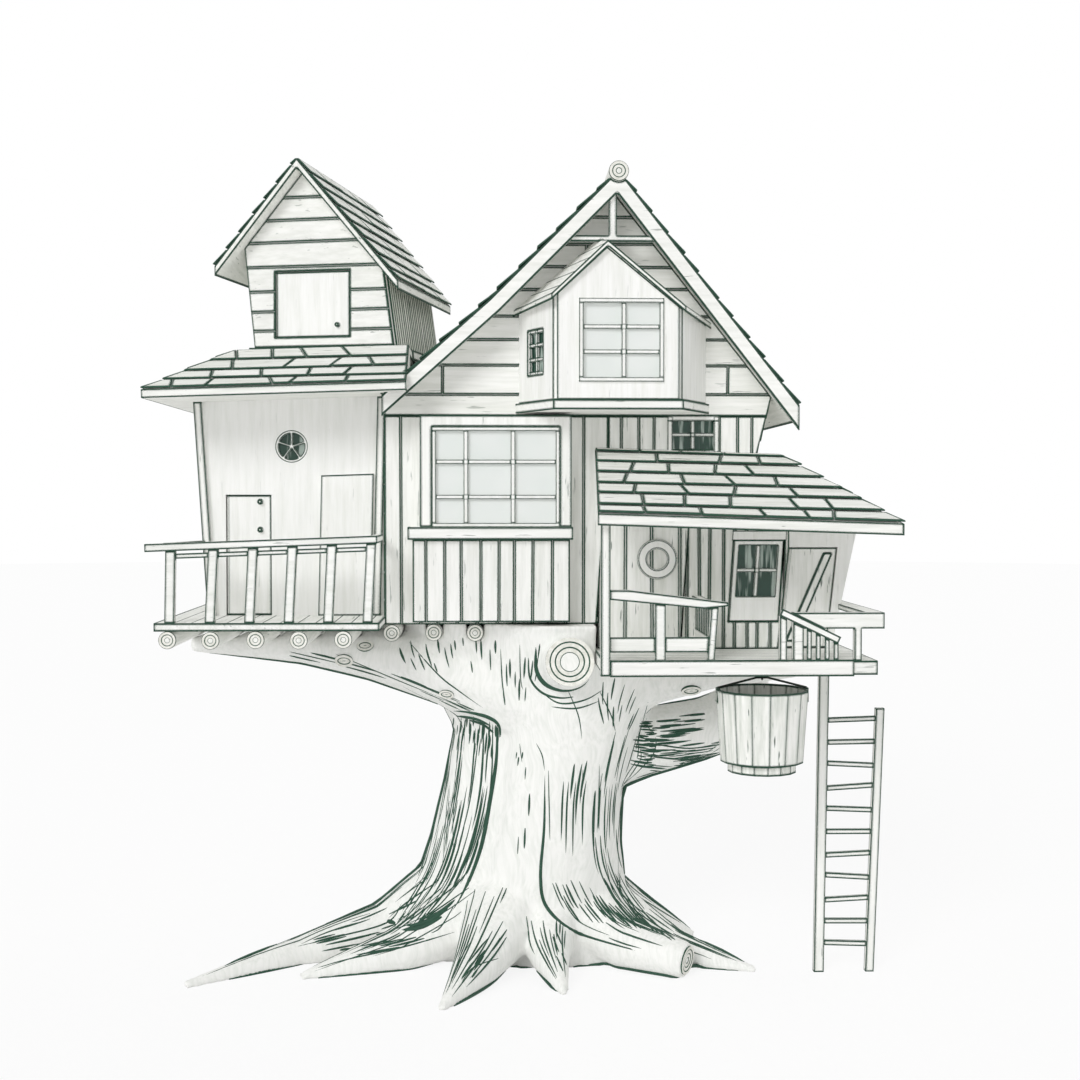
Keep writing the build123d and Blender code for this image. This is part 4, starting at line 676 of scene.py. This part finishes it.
# Cracks along the roots, found from above: the middle of each root, as x, y and half its width.
root_runs = [
    [(-1.0, 0.35, 0.5), (-1.9, 0.2, 0.33), (-2.9, -0.2, 0.17), (-3.95, -1.0, 0.06)],
    [(-0.9, -0.1, 0.42), (-1.7, -0.42, 0.25), (-2.7, -0.78, 0.07)],
    [(-0.5, -0.5, 0.4), (-0.76, -1.15, 0.26), (-1.08, -1.86, 0.07)],
    [(0.08, -0.5, 0.34), (0.09, -0.9, 0.22), (0.21, -1.42, 0.06)],
    [(0.6, -0.2, 0.45), (1.0, -0.56, 0.3), (1.6, -0.93, 0.2)],
    [(1.1, -0.1, 0.35), (1.6, -0.38, 0.21), (2.4, -0.7, 0.06)],
    [(0.9, 0.5, 0.45), (1.3, 0.5, 0.29), (1.85, 0.67, 0.08)],
    [(-1.1, 1.3, 0.42), (-1.5, 1.7, 0.25), (-2.0, 2.2, 0.07)],
    [(0.65, 1.3, 0.42), (1.0, 1.7, 0.25), (1.43, 2.2, 0.07)],
]
limb_runs = [
    ([(-0.9, 0.6, 0.4), (-1.9, 0.95, 0.25), (-3.5, 1.12, 0.12)], 1.2),
    ([(1.0, -0.1, 0.3), (2.3, 0.2, 0.25)], 0.9),
]


def lane_cracks(run, steps, asides, height, look, wanted, widths, sway=0.0):
    """Cracks in lanes beside the middle of a root or limb, found by looking up or down from a height."""
    path = smooth_route([Vector(spot) for spot in run], steps)
    made = []
    for aside in asides:
        aside += rng.uniform(-sway, sway) if sway else 0.0
        begin = rng.randint(0, len(path) // 2)
        finish = rng.randint(begin + len(path) // 4, len(path) - 1)
        found = []
        for spot, ahead in zip(path[begin:finish], path[begin + 1:finish + 1]):
            way = (ahead.xy - spot.xy).normalized()
            start = Vector((spot.x - way.y * aside * spot.z, spot.y + way.x * aside * spot.z, height))
            point, normal = trunk_tree.ray_cast(start, Vector((0, 0, look)))[:2]
            if point and wanted(point, normal) and (not found or (point - found[-1]).length < FAR_STEP):
                found.append(point)
        made.append((found, rng.uniform(*widths)))
    return made


rng = random.Random(78)
for run in root_runs:
    routes += lane_cracks(run, 10, [-0.9 + lane * 0.15 for lane in range(13)], 1.3, -1,
                          lambda point, normal: normal.z > 0.15, (0.007, 0.013), sway=0.05)
# The left limb and the low limb, seen from below.
for run, height in limb_runs:
    routes += lane_cracks(run, 14, [-0.85 + lane * 0.17 for lane in range(11)], height, 1,
                          lambda point, normal: point.z > 2.0, (0.008, 0.014))


EDGE_STEP = 0.008
EDGE_STEPS = 500
EDGE_SPLIT = 0.4
EDGE_SMOOTHING = 6


def edge_cracks(starts, way, width):
    """Long cracks by the sides of the trunk: from each start, step out until the bark turns away."""
    made = [[]]
    for x, z in starts:
        last = None
        for step in range(EDGE_STEPS):
            point = seen_from_front(x + way[0] * step * EDGE_STEP, z + way[1] * step * EDGE_STEP)[0]
            if not point:
                break
            last = point
        if last is None:
            continue
        if made[-1] and (last - made[-1][-1]).length > EDGE_SPLIT:
            made.append([])
        made[-1].append(last)
    for line in made:
        for _ in range(EDGE_SMOOTHING):
            line[1:-1] = [(line[k - 1] + line[k] * 2 + line[k + 1]) / 4 for k in range(1, len(line) - 1)]
        line[:] = [trunk_tree.find_nearest(point)[0] for point in line]
    return [(line, width) for line in made if len(line) > 3]


def level_row(first, pitch, height, count):
    """A row of starts at one height, as x and z."""
    return [(first + number * pitch, height) for number in range(count)]


for starts, way, width in (
    ([(-0.45, 0.62 + number * 0.08) for number in range(30)], (-1, 0), 0.03),
    ([(0.5, 0.62 + number * 0.08) for number in range(30)], (1, 0), 0.03),
    (level_row(-1.15, -0.1, 0.12, 28), (0, 1), 0.024),
    (level_row(1.0, 0.09, 0.12, 17), (0, 1), 0.024),
    (level_row(-3.9, 0.06, 0.16, 106), (0, -1), 0.028),
    (level_row(-1.1, -0.1, 3.84, 28), (0, -1), 0.022),
    (level_row(1.15, 0.08, 2.62, 14), (0, -1), 0.02),
    (level_row(1.25, 0.08, 2.62, 13), (0, 1), 0.02),
):
    routes += edge_cracks(starts, way, width)

# Cracks that run up the back and the sides of the stem, found by looking in at its middle line.
BACK_CRACKS = 150
BACK_STEPS = 14
BACK_SPLIT = 0.25
LOOK_FROM = 6
rng = random.Random(77)
for number in range(BACK_CRACKS):
    turn = math.radians(rng.uniform(-30, 210))
    base = rng.uniform(0.3, 2.7)
    length = rng.uniform(0.35, 1.3)
    width = rng.uniform(0.006, 0.012)
    drift = rng.uniform(-0.08, 0.08)
    found = []
    for step in range(BACK_STEPS):
        share = step / (BACK_STEPS - 1)
        centre = Vector((0.0, 0.25, base + length * share))
        way = Vector((math.cos(turn + drift * share), math.sin(turn + drift * share), 0))
        point, normal = trunk_tree.ray_cast(centre + way * LOOK_FROM, -way)[:2]
        if point and (not found or (point - found[-1]).length < BACK_SPLIT):
            found.append(point - normal * width * CRACK_SINK)
    routes.append((found, width))
# All the cracks as one piece, with the sheaves of painted shade among them.
crack_curves("bark_cracks_and_shade_hatch", routes)

# Sawn ends: where the ridge log, the stub and a root were cut through, and the knots in the limbs.
# Each is bare end grain with its growth rings, and dark paint lies in the grooves between them.
end_grain = limed_timber("end_grain", "#F6F5EF", "#D9D9CF", "y", edge=0.0, checks=0.2)
RING_FLAT = 0.72
RING_GROOVE = 0.28
GROOVE_DEPTH = 0.004
END_DEPTH = 0.03


def sawn_end(bm, centre, facing, radius, rings, squash=1.0):
    """Concentric growth rings on a cut face, with dark grooves between them."""
    facing = Vector(facing).normalized()
    turn = facing.to_track_quat("Z", "Y").to_matrix().to_4x4()
    place = Matrix.Translation(centre) @ turn @ Matrix.Diagonal((1, squash, 1, 1))
    made = bmesh.ops.create_circle(bm, cap_ends=True, segments=28, radius=radius, matrix=place)
    disc = made["verts"][0].link_faces[0]
    if disc.normal.dot(facing) < 0:
        bmesh.ops.reverse_faces(bm, faces=[disc])
    step = radius / (rings + 0.6)
    for number in range(rings):
        bmesh.ops.inset_region(bm, faces=[disc], thickness=step * RING_FLAT, depth=0.0, use_boundary=True)
        groove = bmesh.ops.inset_region(bm, faces=[disc], thickness=step * RING_GROOVE, depth=-GROOVE_DEPTH,
                                        use_boundary=True)
        for face in groove["faces"]:
            face.material_index = 1
    rim = bmesh.ops.extrude_edge_only(bm, edges=[e for e in bm.edges if e.is_boundary and e.verts[0] in made["verts"]])
    for item in rim["geom"]:
        if isinstance(item, bmesh.types.BMVert):
            item.co -= facing * END_DEPTH
        elif isinstance(item, bmesh.types.BMFace):
            item.material_index = 1


ends = bmesh.new()
for centre, facing, radius, rings in (
    ((0.817, -1.497, 9.11), (0, -1, 0), 0.105, 2),
    ((0.817, 2.8965, 9.11), (0, 1, 0), 0.105, 2),
    ((0.2855, -1.41, 3.702), (0.028, -0.985, 0.153), 0.272, 4),
    ((1.67, -0.966, 0.209), (0.84, -0.52, -0.12), 0.165, 3),
):
    sawn_end(ends, centre, facing, radius, rings)
for x, z, radius in ((-2.03, 3.83, 0.10), (-2.27, 3.66, 0.11), (-1.1, 3.27, 0.09), (1.72, 3.3, 0.12)):
    point, normal = seen_from_front(x, z)
    if point:
        sawn_end(ends, point + normal * 0.012, normal, radius, 2, 0.7)
placed("sawn_ends", ends, [end_grain, joint_paint])

# Joists and floors: round logs laid in notches over the limbs, with sawn ends that show at the front,
# and planks nailed across them for the deck, the house and the porch.
log_wood = limed_timber("log_wood", "#F9F9F5", "#E1E3DC", "y", edge=0.036)
plank_floor = limed_timber("plank_floor", "#FAFAF7", "#E6E8E2", "y", edge=0.044, planks=("X", 0.19))
porch_floor = limed_timber("porch_floor", "#FAFAF7", "#E6E8E2", "x", edge=0.044, planks=("Y", 0.17))
fascia_wood = limed_timber("fascia_wood", "#FBFBF8", "#E8E9E4", "x", edge=0.044)
finish_nodes(log_wood, "floor_joists")
finish_nodes(plank_floor, "left_deck", "main_floor", "upper_floor")
finish_nodes(porch_floor, "porch_deck")
finish_nodes(fascia_wood, "porch_fascia")
LOG_COUNT = 10
LOG_LEFT = -4.06
LOG_PITCH = 0.47
LOG_HEIGHT = 3.995
LOG_RADIUS = 0.09
LOG_BACK = 1.8
LOG_STAGGER = 0.06
DECK_RIGHT = -1.79
DECK_LOG_FRONT = -1.83
HOUSE_LOG_FRONT = -0.98
END_PROUD = 0.006
log_ends = bmesh.new()
for number in range(LOG_COUNT):
    x = LOG_LEFT + number * LOG_PITCH
    front = (DECK_LOG_FRONT if x < DECK_RIGHT else HOUSE_LOG_FRONT) - LOG_STAGGER * (number % 2)
    sawn_end(log_ends, (x, front - END_PROUD, LOG_HEIGHT), (0, -1, 0), LOG_RADIUS, 2)
    sawn_end(log_ends, (x, LOG_BACK + END_PROUD, LOG_HEIGHT), (0, 1, 0), LOG_RADIUS, 2)
placed("log_ends", log_ends, [end_grain, joint_paint])

# Left cabin: wide upright boards, planed smooth in front, nailed between two corner posts, with a boarded
# door on wooden pivots, a fixed panel and a round window with a star of glazing bars.
UPRIGHT = (0, 0, 1)
TO_BACK = (0, 1, 0)
cabin_plain = limed_timber("cabin_plain", "#FCFCFA", "#F0F1ED", "z", edge=0.0, checks=0.1)
cabin_wood = limed_timber("cabin_wood", "#FCFCFA", "#EDEEE9", "z", edge=0.036, checks=0.2)
trim_wood_up = limed_timber("trim_wood_up", "#FCFCF9", "#ECEDE8", "z", edge=0.044)
thin_trim = limed_timber("thin_trim", "#FCFCFA", "#EEEFEA", "z", edge=0.022, checks=0.1)
finish_nodes(cabin_plain, "cabin_front_wall", "door_heads", "door_jambs")
finish_nodes(cabin_wood, "cabin_left_wall", "cabin_back_wall", "cabin_panel", "balcony_door")
finish_nodes(trim_wood_up, "cabin_corner_posts")
finish_nodes(thin_trim, "window_frames")


def wall_boards(name, node, facing, along, pitch, wood, seed, **laid):
    """Boards nailed side by side over a wall."""
    boards_on(name, node, facing, along, pitch, wood, "wall_boards", seed, **laid)


wall_boards("cabin_back_boards", "cabin_back_wall", TO_BACK, UPRIGHT, 0.24, cabin_wood, 3)
wall_boards("cabin_left_boards", "cabin_left_wall", (-1, 0, -0.06), UPRIGHT, 0.24, cabin_wood, 4)

# Roof of the left cabin: split planks, nailed in courses from the eaves up, each lapped over the one below.
# The joints between planks slant, because they were split and not sawn.
TO_RIGHT = (1, 0, 0)
roof_wood = limed_timber("roof_wood", "#FAFAF6", "#E1E3DC", "x", edge=0.034, checks=0.7)
roof_wood_deep = limed_timber("roof_wood_deep", "#FAFAF6", "#E1E3DC", "y", edge=0.034, checks=0.7)


def roof_courses(name, node, facing, along, pitch, wood, seed, **laid):
    """Roof planks in courses that lap down a slope."""
    boards_on(name, node, facing, along, pitch, wood, "roof_shingle", seed, **laid)


finish_nodes(roof_wood, "cabin_roof")
split = {"thick": 0.016, "lap": 0.018}
roof_courses("cabin_roof_front", "cabin_roof", (-0.03, -0.47, 0.88), TO_RIGHT, 0.27, roof_wood, 41,
             run=0.55, skew=22, **split)
roof_courses("cabin_roof_left", "cabin_roof", (-0.51, 0, 0.86), TO_BACK, 0.27, roof_wood_deep, 42,
             run=0.6, skew=12, **split)
roof_courses("cabin_roof_back", "cabin_roof", (-0.03, 0.49, 0.87), TO_RIGHT, 0.27, roof_wood, 43,
             run=0.6, skew=12, **split)

# Hut on the roof: level boards nailed to its gables and narrow upright ones to its sides, on a floor of
# planed timber, with one boarded door, under two slopes of lapped planks.
HUT_ALONG = (0.98, -0.22, 0)
HUT_BACK = (0.22, 0.98, 0)
hut_wood = limed_timber("hut_wood", "#FBFBF8", "#EAEBE6", "x", edge=0.03, checks=0.4)
# The sides of the hut get a much darker wash than its gables: painted shade on its side walls.
hut_side_painted_shade_wood = limed_timber("hut_side_painted_shade_wood", "#F2F2EC", "#C4C9BE", "z", edge=0.018, checks=1.0)
trim_wood_level = limed_timber("trim_wood_level", "#FCFCF9", "#ECEDE8", "x", edge=0.044)
finish_nodes(hut_wood, "hut_gable_walls")
finish_nodes(hut_side_painted_shade_wood, "hut_side_walls")
finish_nodes(trim_wood_level, "hut_floor")
finish_nodes(cabin_wood, "hut_door")
finish_nodes(roof_wood_deep, "hut_roof")
thin_boards = {"thick": 0.014, "lap": 0.008, "joints": 0.3}
wall_boards("hut_front_boards", "hut_gable_walls", (-0.22, -0.98, 0), HUT_ALONG, 0.25, hut_wood, 51,
            keep=lambda c: c.y < 0.6, **thin_boards)
wall_boards("hut_back_boards", "hut_gable_walls", HUT_BACK, HUT_ALONG, 0.25, hut_wood, 52,
            keep=lambda c: c.y > 0.6, **thin_boards)
wall_boards("hut_right_boards", "hut_side_walls", (0.97, -0.22, 0.14), UPRIGHT, 0.085, hut_side_painted_shade_wood, 53,
            thick=0.014, gap=0.012, worn=0.005, keep=lambda c: c.x > -2.2)
wall_boards("hut_left_boards", "hut_side_walls", (-0.97, 0.22, -0.1), UPRIGHT, 0.1, hut_side_painted_shade_wood, 54,
            thick=0.014, worn=0.005, keep=lambda c: c.x < -2.4)
for name, facing, seed in (("hut_roof_right", (0.74, -0.17, 0.65), 55), ("hut_roof_left", (-0.75, 0.17, 0.64), 56)):
    roof_courses(name, "hut_roof", facing, HUT_BACK, 0.24, roof_wood_deep, seed,
                 thick=0.016, lap=0.022, run=0.7, skew=8)

# Main house: sawn boards nailed over its walls. They run level in the gable, at the left, on the back and
# at the upper right, and upright below the gable and over the porch.
TO_FRONT = (0, -1, 0)
wall_wood = limed_timber("wall_wood", "#FBFBF8", "#EAEBE6", "x", edge=0.022, checks=0.4)
wall_wood_up = limed_timber("wall_wood_up", "#FBFBF8", "#E8E9E4", "z", edge=0.022, checks=0.4)
wall_wood_deep = limed_timber("wall_wood_deep", "#FBFBF8", "#E8E9E4", "y", edge=0.022, checks=0.4)
finish_nodes(wall_wood, "house_front_gable", "house_back_wall")
finish_nodes(wall_wood_up, "house_front_wall", "house_strip_wall", "house_right_wall")
finish_nodes(wall_wood_deep, "house_left_wall", "house_upper_right_wall")
wall_boards("gable_boards", "house_front_gable", TO_FRONT, TO_RIGHT, 0.29, wall_wood, 11, joints=0.5, lap=0.014)
wall_boards("front_boards", "house_front_wall", TO_FRONT, UPRIGHT, 0.22, wall_wood_up, 12)
wall_boards("strip_boards", "house_strip_wall", TO_FRONT, UPRIGHT, 0.19, wall_wood_up, 13)
wall_boards("back_boards", "house_back_wall", TO_BACK, TO_RIGHT, 0.29, wall_wood, 14, joints=0.6, lap=0.014)
wall_boards("left_boards", "house_left_wall", (-1, 0, 0), TO_BACK, 0.29, wall_wood_deep, 15,
            keep=lambda c: c.z > 0)
wall_boards("upper_right_boards", "house_upper_right_wall", (0.97, 0, -0.25), TO_BACK, 0.27, wall_wood_deep, 16,
            lap=0.01)

# Roof of the house: split planks nailed in lapped courses down both slopes, from a round ridge log.
# Barge boards close their front edges over a king post and its collar.
finish_nodes(roof_wood_deep, "main_roof_left", "main_roof_right")
finish_nodes(log_wood, "ridge_log")
finish_nodes(trim_wood_up, "king_post")
finish_nodes(trim_wood_level, "barge_boards")
main_courses = {"thick": 0.018, "lap": 0.026, "run": 0.75, "skew": 8}
roof_courses("roof_courses_left", "main_roof_left", (-0.69, 0, 0.73), TO_BACK, 0.3, roof_wood_deep, 61,
             alike=0.985, **main_courses)
roof_courses("roof_courses_right", "main_roof_right", (0.79, 0, 0.62), TO_BACK, 0.3, roof_wood_deep, 62,
             **main_courses)

# Bay window: a heavy frame of planed timber that stands on a sill over an apron of upright boards.
# Thin planed bars, nailed before the glass, part it into nine panes.
finish_nodes(trim_wood_up, "bay_frame")
finish_nodes(trim_wood_level, "bay_sill")
finish_nodes(wall_wood_up, "bay_apron")
wall_boards("apron_boards", "bay_apron", TO_FRONT, UPRIGHT, 0.2, wall_wood_up, 21)


def add_bar(bm, start, end, width, depth, face=TO_FRONT):
    """A bar from a start to an end. Width is across the side that it shows, depth is into the wall."""
    start, end = Vector(start), Vector(end)
    along = (end - start).normalized()
    side = along.cross(Vector(face)).normalized()
    front = side.cross(along).normalized()
    turn = Matrix((side, front, along)).transposed().to_4x4()
    size = Matrix.Diagonal((width, depth, (end - start).length, 1))
    bmesh.ops.create_cube(bm, size=1, matrix=Matrix.Translation((start + end) / 2) @ turn @ size)


def upright_bars(bm, places, y, foot, head, width, depth, face=TO_FRONT):
    """Upright bars at some places along a wall."""
    for x in places:
        add_bar(bm, (x, y, foot), (x, y, head), width, depth, face)


def level_bars(bm, heights, y, left, right, width, depth, face=TO_FRONT):
    """Level bars at some heights of a wall."""
    for z in heights:
        add_bar(bm, (left, y, z), (right, y, z), width, depth, face)


def finish_bars(name, bm, material):
    """Wear the edges of a set of bars a little and place them."""
    bmesh.ops.bevel(bm, geom=bm.edges[:], offset=0.004, offset_type="OFFSET", segments=2, profile=0.5,
                    affect="EDGES", clamp_overlap=True, material=-1)
    bmesh.ops.recalc_face_normals(bm, faces=bm.faces[:])
    placed(name, bm, [material])


bay_bars = bmesh.new()
upright_bars(bay_bars, (-0.867, -0.344), -1.318, 5.246, 6.264, 0.052, 0.04)
level_bars(bay_bars, (5.533, 5.923), -1.316, -1.197, 0.129, 0.048, 0.034)
upright_bars(bay_bars, (-1.2205, 0.1525), -1.32, 5.246, 6.264, 0.045, 0.05)
level_bars(bay_bars, (5.222, 6.288), -1.32, -1.243, 0.175, 0.045, 0.05)
finish_bars("bay_glazing_bars", bay_bars, thin_trim)

# Projecting upper window: a box of planed boards on a moulded base, nailed to the gable, under its own
# small roof of laid planks. Bars part the glass in its front and its left cheek.
finish_nodes(cabin_wood, "oriel_front_wall", "oriel_side_walls")
finish_nodes(trim_wood_level, "oriel_base")
oriel_shingle = limed_timber("oriel_shingle", "#FAFAF6", "#E1E3DC", "y", edge=0.034, checks=0.7, planks=("Z", 0.15))
finish_nodes(oriel_shingle, "oriel_roof")
oriel_bars = bmesh.new()
upright_bars(oriel_bars, (0.847,), -1.785, 6.82, 7.63, 0.05, 0.04)
level_bars(oriel_bars, (7.10, 7.37), -1.783, 0.404, 1.236, 0.048, 0.034)
upright_bars(oriel_bars, (0.385, 1.255), -1.81, 6.826, 7.624, 0.05, 0.03)
level_bars(oriel_bars, (6.8, 7.65), -1.81, 0.36, 1.28, 0.05, 0.032)
CHEEK_FACE = (-0.89, -0.45, 0)
CHEEK_CLEAR = 0.02


def on_cheek(share, z):
    """A place just clear of the left cheek, at a share of the way from its front edge to its back edge."""
    place = Vector((0.032, -1.518, z)).lerp(Vector((-0.136, -1.202, z)), share)
    return place + Vector(CHEEK_FACE) * CHEEK_CLEAR


for share, width in ((0.06, 0.035), (0.5, 0.04), (0.94, 0.035)):
    add_bar(oriel_bars, on_cheek(share, 6.88), on_cheek(share, 7.38), width, 0.03, CHEEK_FACE)
for z in (6.9, 7.05, 7.21, 7.36):
    add_bar(oriel_bars, on_cheek(0, z), on_cheek(1, z), 0.035, 0.028, CHEEK_FACE)
finish_bars("oriel_glazing_bars", oriel_bars, thin_trim)

# Small windows: one in the strip of wall over the porch and one in the back wall, each with a cross
# of thin bars, between planed trims that are nailed round it.
small_bars = bmesh.new()
upright_bars(small_bars, (1.705,), -0.968, 6.075, 6.4, 0.045, 0.03)
level_bars(small_bars, (6.24,), -0.968, 1.46, 1.95, 0.04, 0.026)
upright_bars(small_bars, (1.44, 1.97), -1.012, 6.04, 6.44, 0.055, 0.045)
level_bars(small_bars, (6.425,), -1.014, 1.412, 1.998, 0.055, 0.048)
upright_bars(small_bars, (-0.6,), 2.375, 5.0, 5.9, 0.05, 0.035, TO_BACK)
level_bars(small_bars, (5.45,), 2.373, -1.0, -0.2, 0.048, 0.03, TO_BACK)
upright_bars(small_bars, (-1.03, -0.17), 2.425, 4.96, 5.94, 0.07, 0.05, TO_BACK)
level_bars(small_bars, (4.97, 5.93), 2.427, -1.07, -0.13, 0.07, 0.054, TO_BACK)
finish_bars("small_window_bars", small_bars, thin_trim)

# Porch cabin: rough boards nailed upright, with a leaning door on wooden pivots and a wooden ring that hangs
# on the wall, under a roof of split planks in lapped courses that a post carries at its corner.
porch_wood = limed_timber("porch_wood", "#FBFBF8", "#E2E4DD", "z", edge=0.03, checks=0.8)
finish_nodes(porch_wood, "porch_front_wall", "porch_proud_boards", "porch_right_wall", "porch_back_wall", "porch_door")
wall_boards("porch_front_boards", "porch_front_wall", TO_FRONT, UPRIGHT, 0.14, porch_wood, 31,
            keep=lambda c: c.z < 6.2)
wall_boards("porch_proud_facing", "porch_proud_boards", TO_FRONT, UPRIGHT, 0.32, porch_wood, 32,
            thick=0.01, keep=lambda c: c.y < -1.05)
wall_boards("porch_right_boards", "porch_right_wall", (0.98, 0, -0.21), UPRIGHT, 0.16, porch_wood, 33)
wall_boards("porch_back_boards", "porch_back_wall", TO_BACK, UPRIGHT, 0.18, porch_wood, 34)
finish_nodes(roof_wood, "porch_roof_front")
finish_nodes(roof_wood_deep, "porch_roof_side")
porch_courses = {"thick": 0.018, "lap": 0.024, "run": 0.6, "skew": 14}
roof_courses("porch_courses_front", "porch_roof_front", (0.03, -0.44, 0.9), TO_RIGHT, 0.27, roof_wood, 35,
             **porch_courses)
roof_courses("porch_courses_side", "porch_roof_side", (0.59, 0, 0.8), TO_BACK, 0.27, roof_wood_deep, 36,
             **porch_courses)
finish_nodes(trim_wood_up, "porch_post")
finish_nodes(thin_trim, "porch_ring")
DOOR_LEAN = 0.065
DOOR_PANE_RISE = 0.585
window_bars = bmesh.new()
add_bar(window_bars, (2.418, -1.005, 4.4), (2.418 + DOOR_LEAN * DOOR_PANE_RISE, -1.005, 4.985), 0.045, 0.035)
add_bar(window_bars, (2.2, -1.003, 4.7), (2.675, -1.003, 4.7), 0.042, 0.03)
finish_bars("porch_window_bars", window_bars, thin_trim)

# Rails of the balcony and the porch, and the ladder: rough sawn bars and posts, nailed together,
# with the paint rubbed along their edges.
rail_wood = limed_timber("rail_wood", "#FBFBF8", "#E6E8E2", "x", edge=0.036)
rail_wood_up = limed_timber("rail_wood_up", "#FBFBF8", "#E6E8E2", "z", edge=0.036)
finish_nodes(rail_wood, "balcony_rails", "porch_left_rails", "porch_right_rails", "ladder_rungs")
finish_nodes(rail_wood_up, "ladder_stiles")

# Tub: upright staves, coopered. It hangs by a bail of blackened iron, bent from one rod,
# from an iron eye.
stave_wood = limed_timber("stave_wood", "#F9F9F5", "#CDD2C9", "z", edge=0.044, checks=1.0)
iron = patchy_finish("forged_iron", "#16291F", "#3A3F38", 60.0, Metallic=0.7, Roughness=0.55)
finish_nodes(stave_wood, "tub")
finish_nodes(iron, "tub_bail", "tub_eye")

# Glass: one pane to a window, let into its frame. The two large windows have a pale cast. On the small ones the dark
# room behind is painted into the glass as painted shade, crossed by slanting streaks of painted reflection.
LARGE_PANES_BEFORE = -1.2
CHEEK_PANE_LEFT_OF = 0.2
CHEEK_PANE_ABOVE = 6.6


def pane_glass():
    """Smooth glass with faint ripples, its cast chosen by where the pane is: pale, or the painted shade of a dark room
    with painted reflections.
    """
    material, tree, shader = new_material("pane_glass")
    place = object_place(tree)
    parts = add_node(tree, "ShaderNodeSeparateXYZ", {0: place}).outputs
    before = maths(tree, "LESS_THAN", parts["Y"], LARGE_PANES_BEFORE)
    beside = maths(tree, "LESS_THAN", parts["X"], CHEEK_PANE_LEFT_OF)
    above = maths(tree, "GREATER_THAN", parts["Z"], CHEEK_PANE_ABOVE)
    pale = maths(tree, "SUBTRACT", before, maths(tree, "MULTIPLY", beside, above), clamp=True)
    ripple = patches(tree, place, 2.4, 1.0)
    # Slanting pale streaks over the painted dark room: painted reflections on the small panes.
    slanted = stretched(tree, place, (14.0, 2.0, 1.6), (0, math.radians(35), 0))
    painted_reflection_streaks = ramp(tree, patches(tree, slanted, 1.0), 0.5, 0.62)
    light_side = blend(tree, from_hex("#F8FAF8"), from_hex("#E9F0EC"), ripple)
    painted_room_shade_and_reflection = blend(tree, from_hex("#21483A"), from_hex("#B9C8C0"), painted_reflection_streaks)
    feed(tree, shader, {"Base Color": blend(tree, painted_room_shade_and_reflection, light_side, pale), "Roughness": 0.12,
                        "Transmission Weight": 0.1, "Normal": relief(tree, ripple, 0.05, 0.002)})
    return material


finish_nodes(pane_glass(), "window_glass")
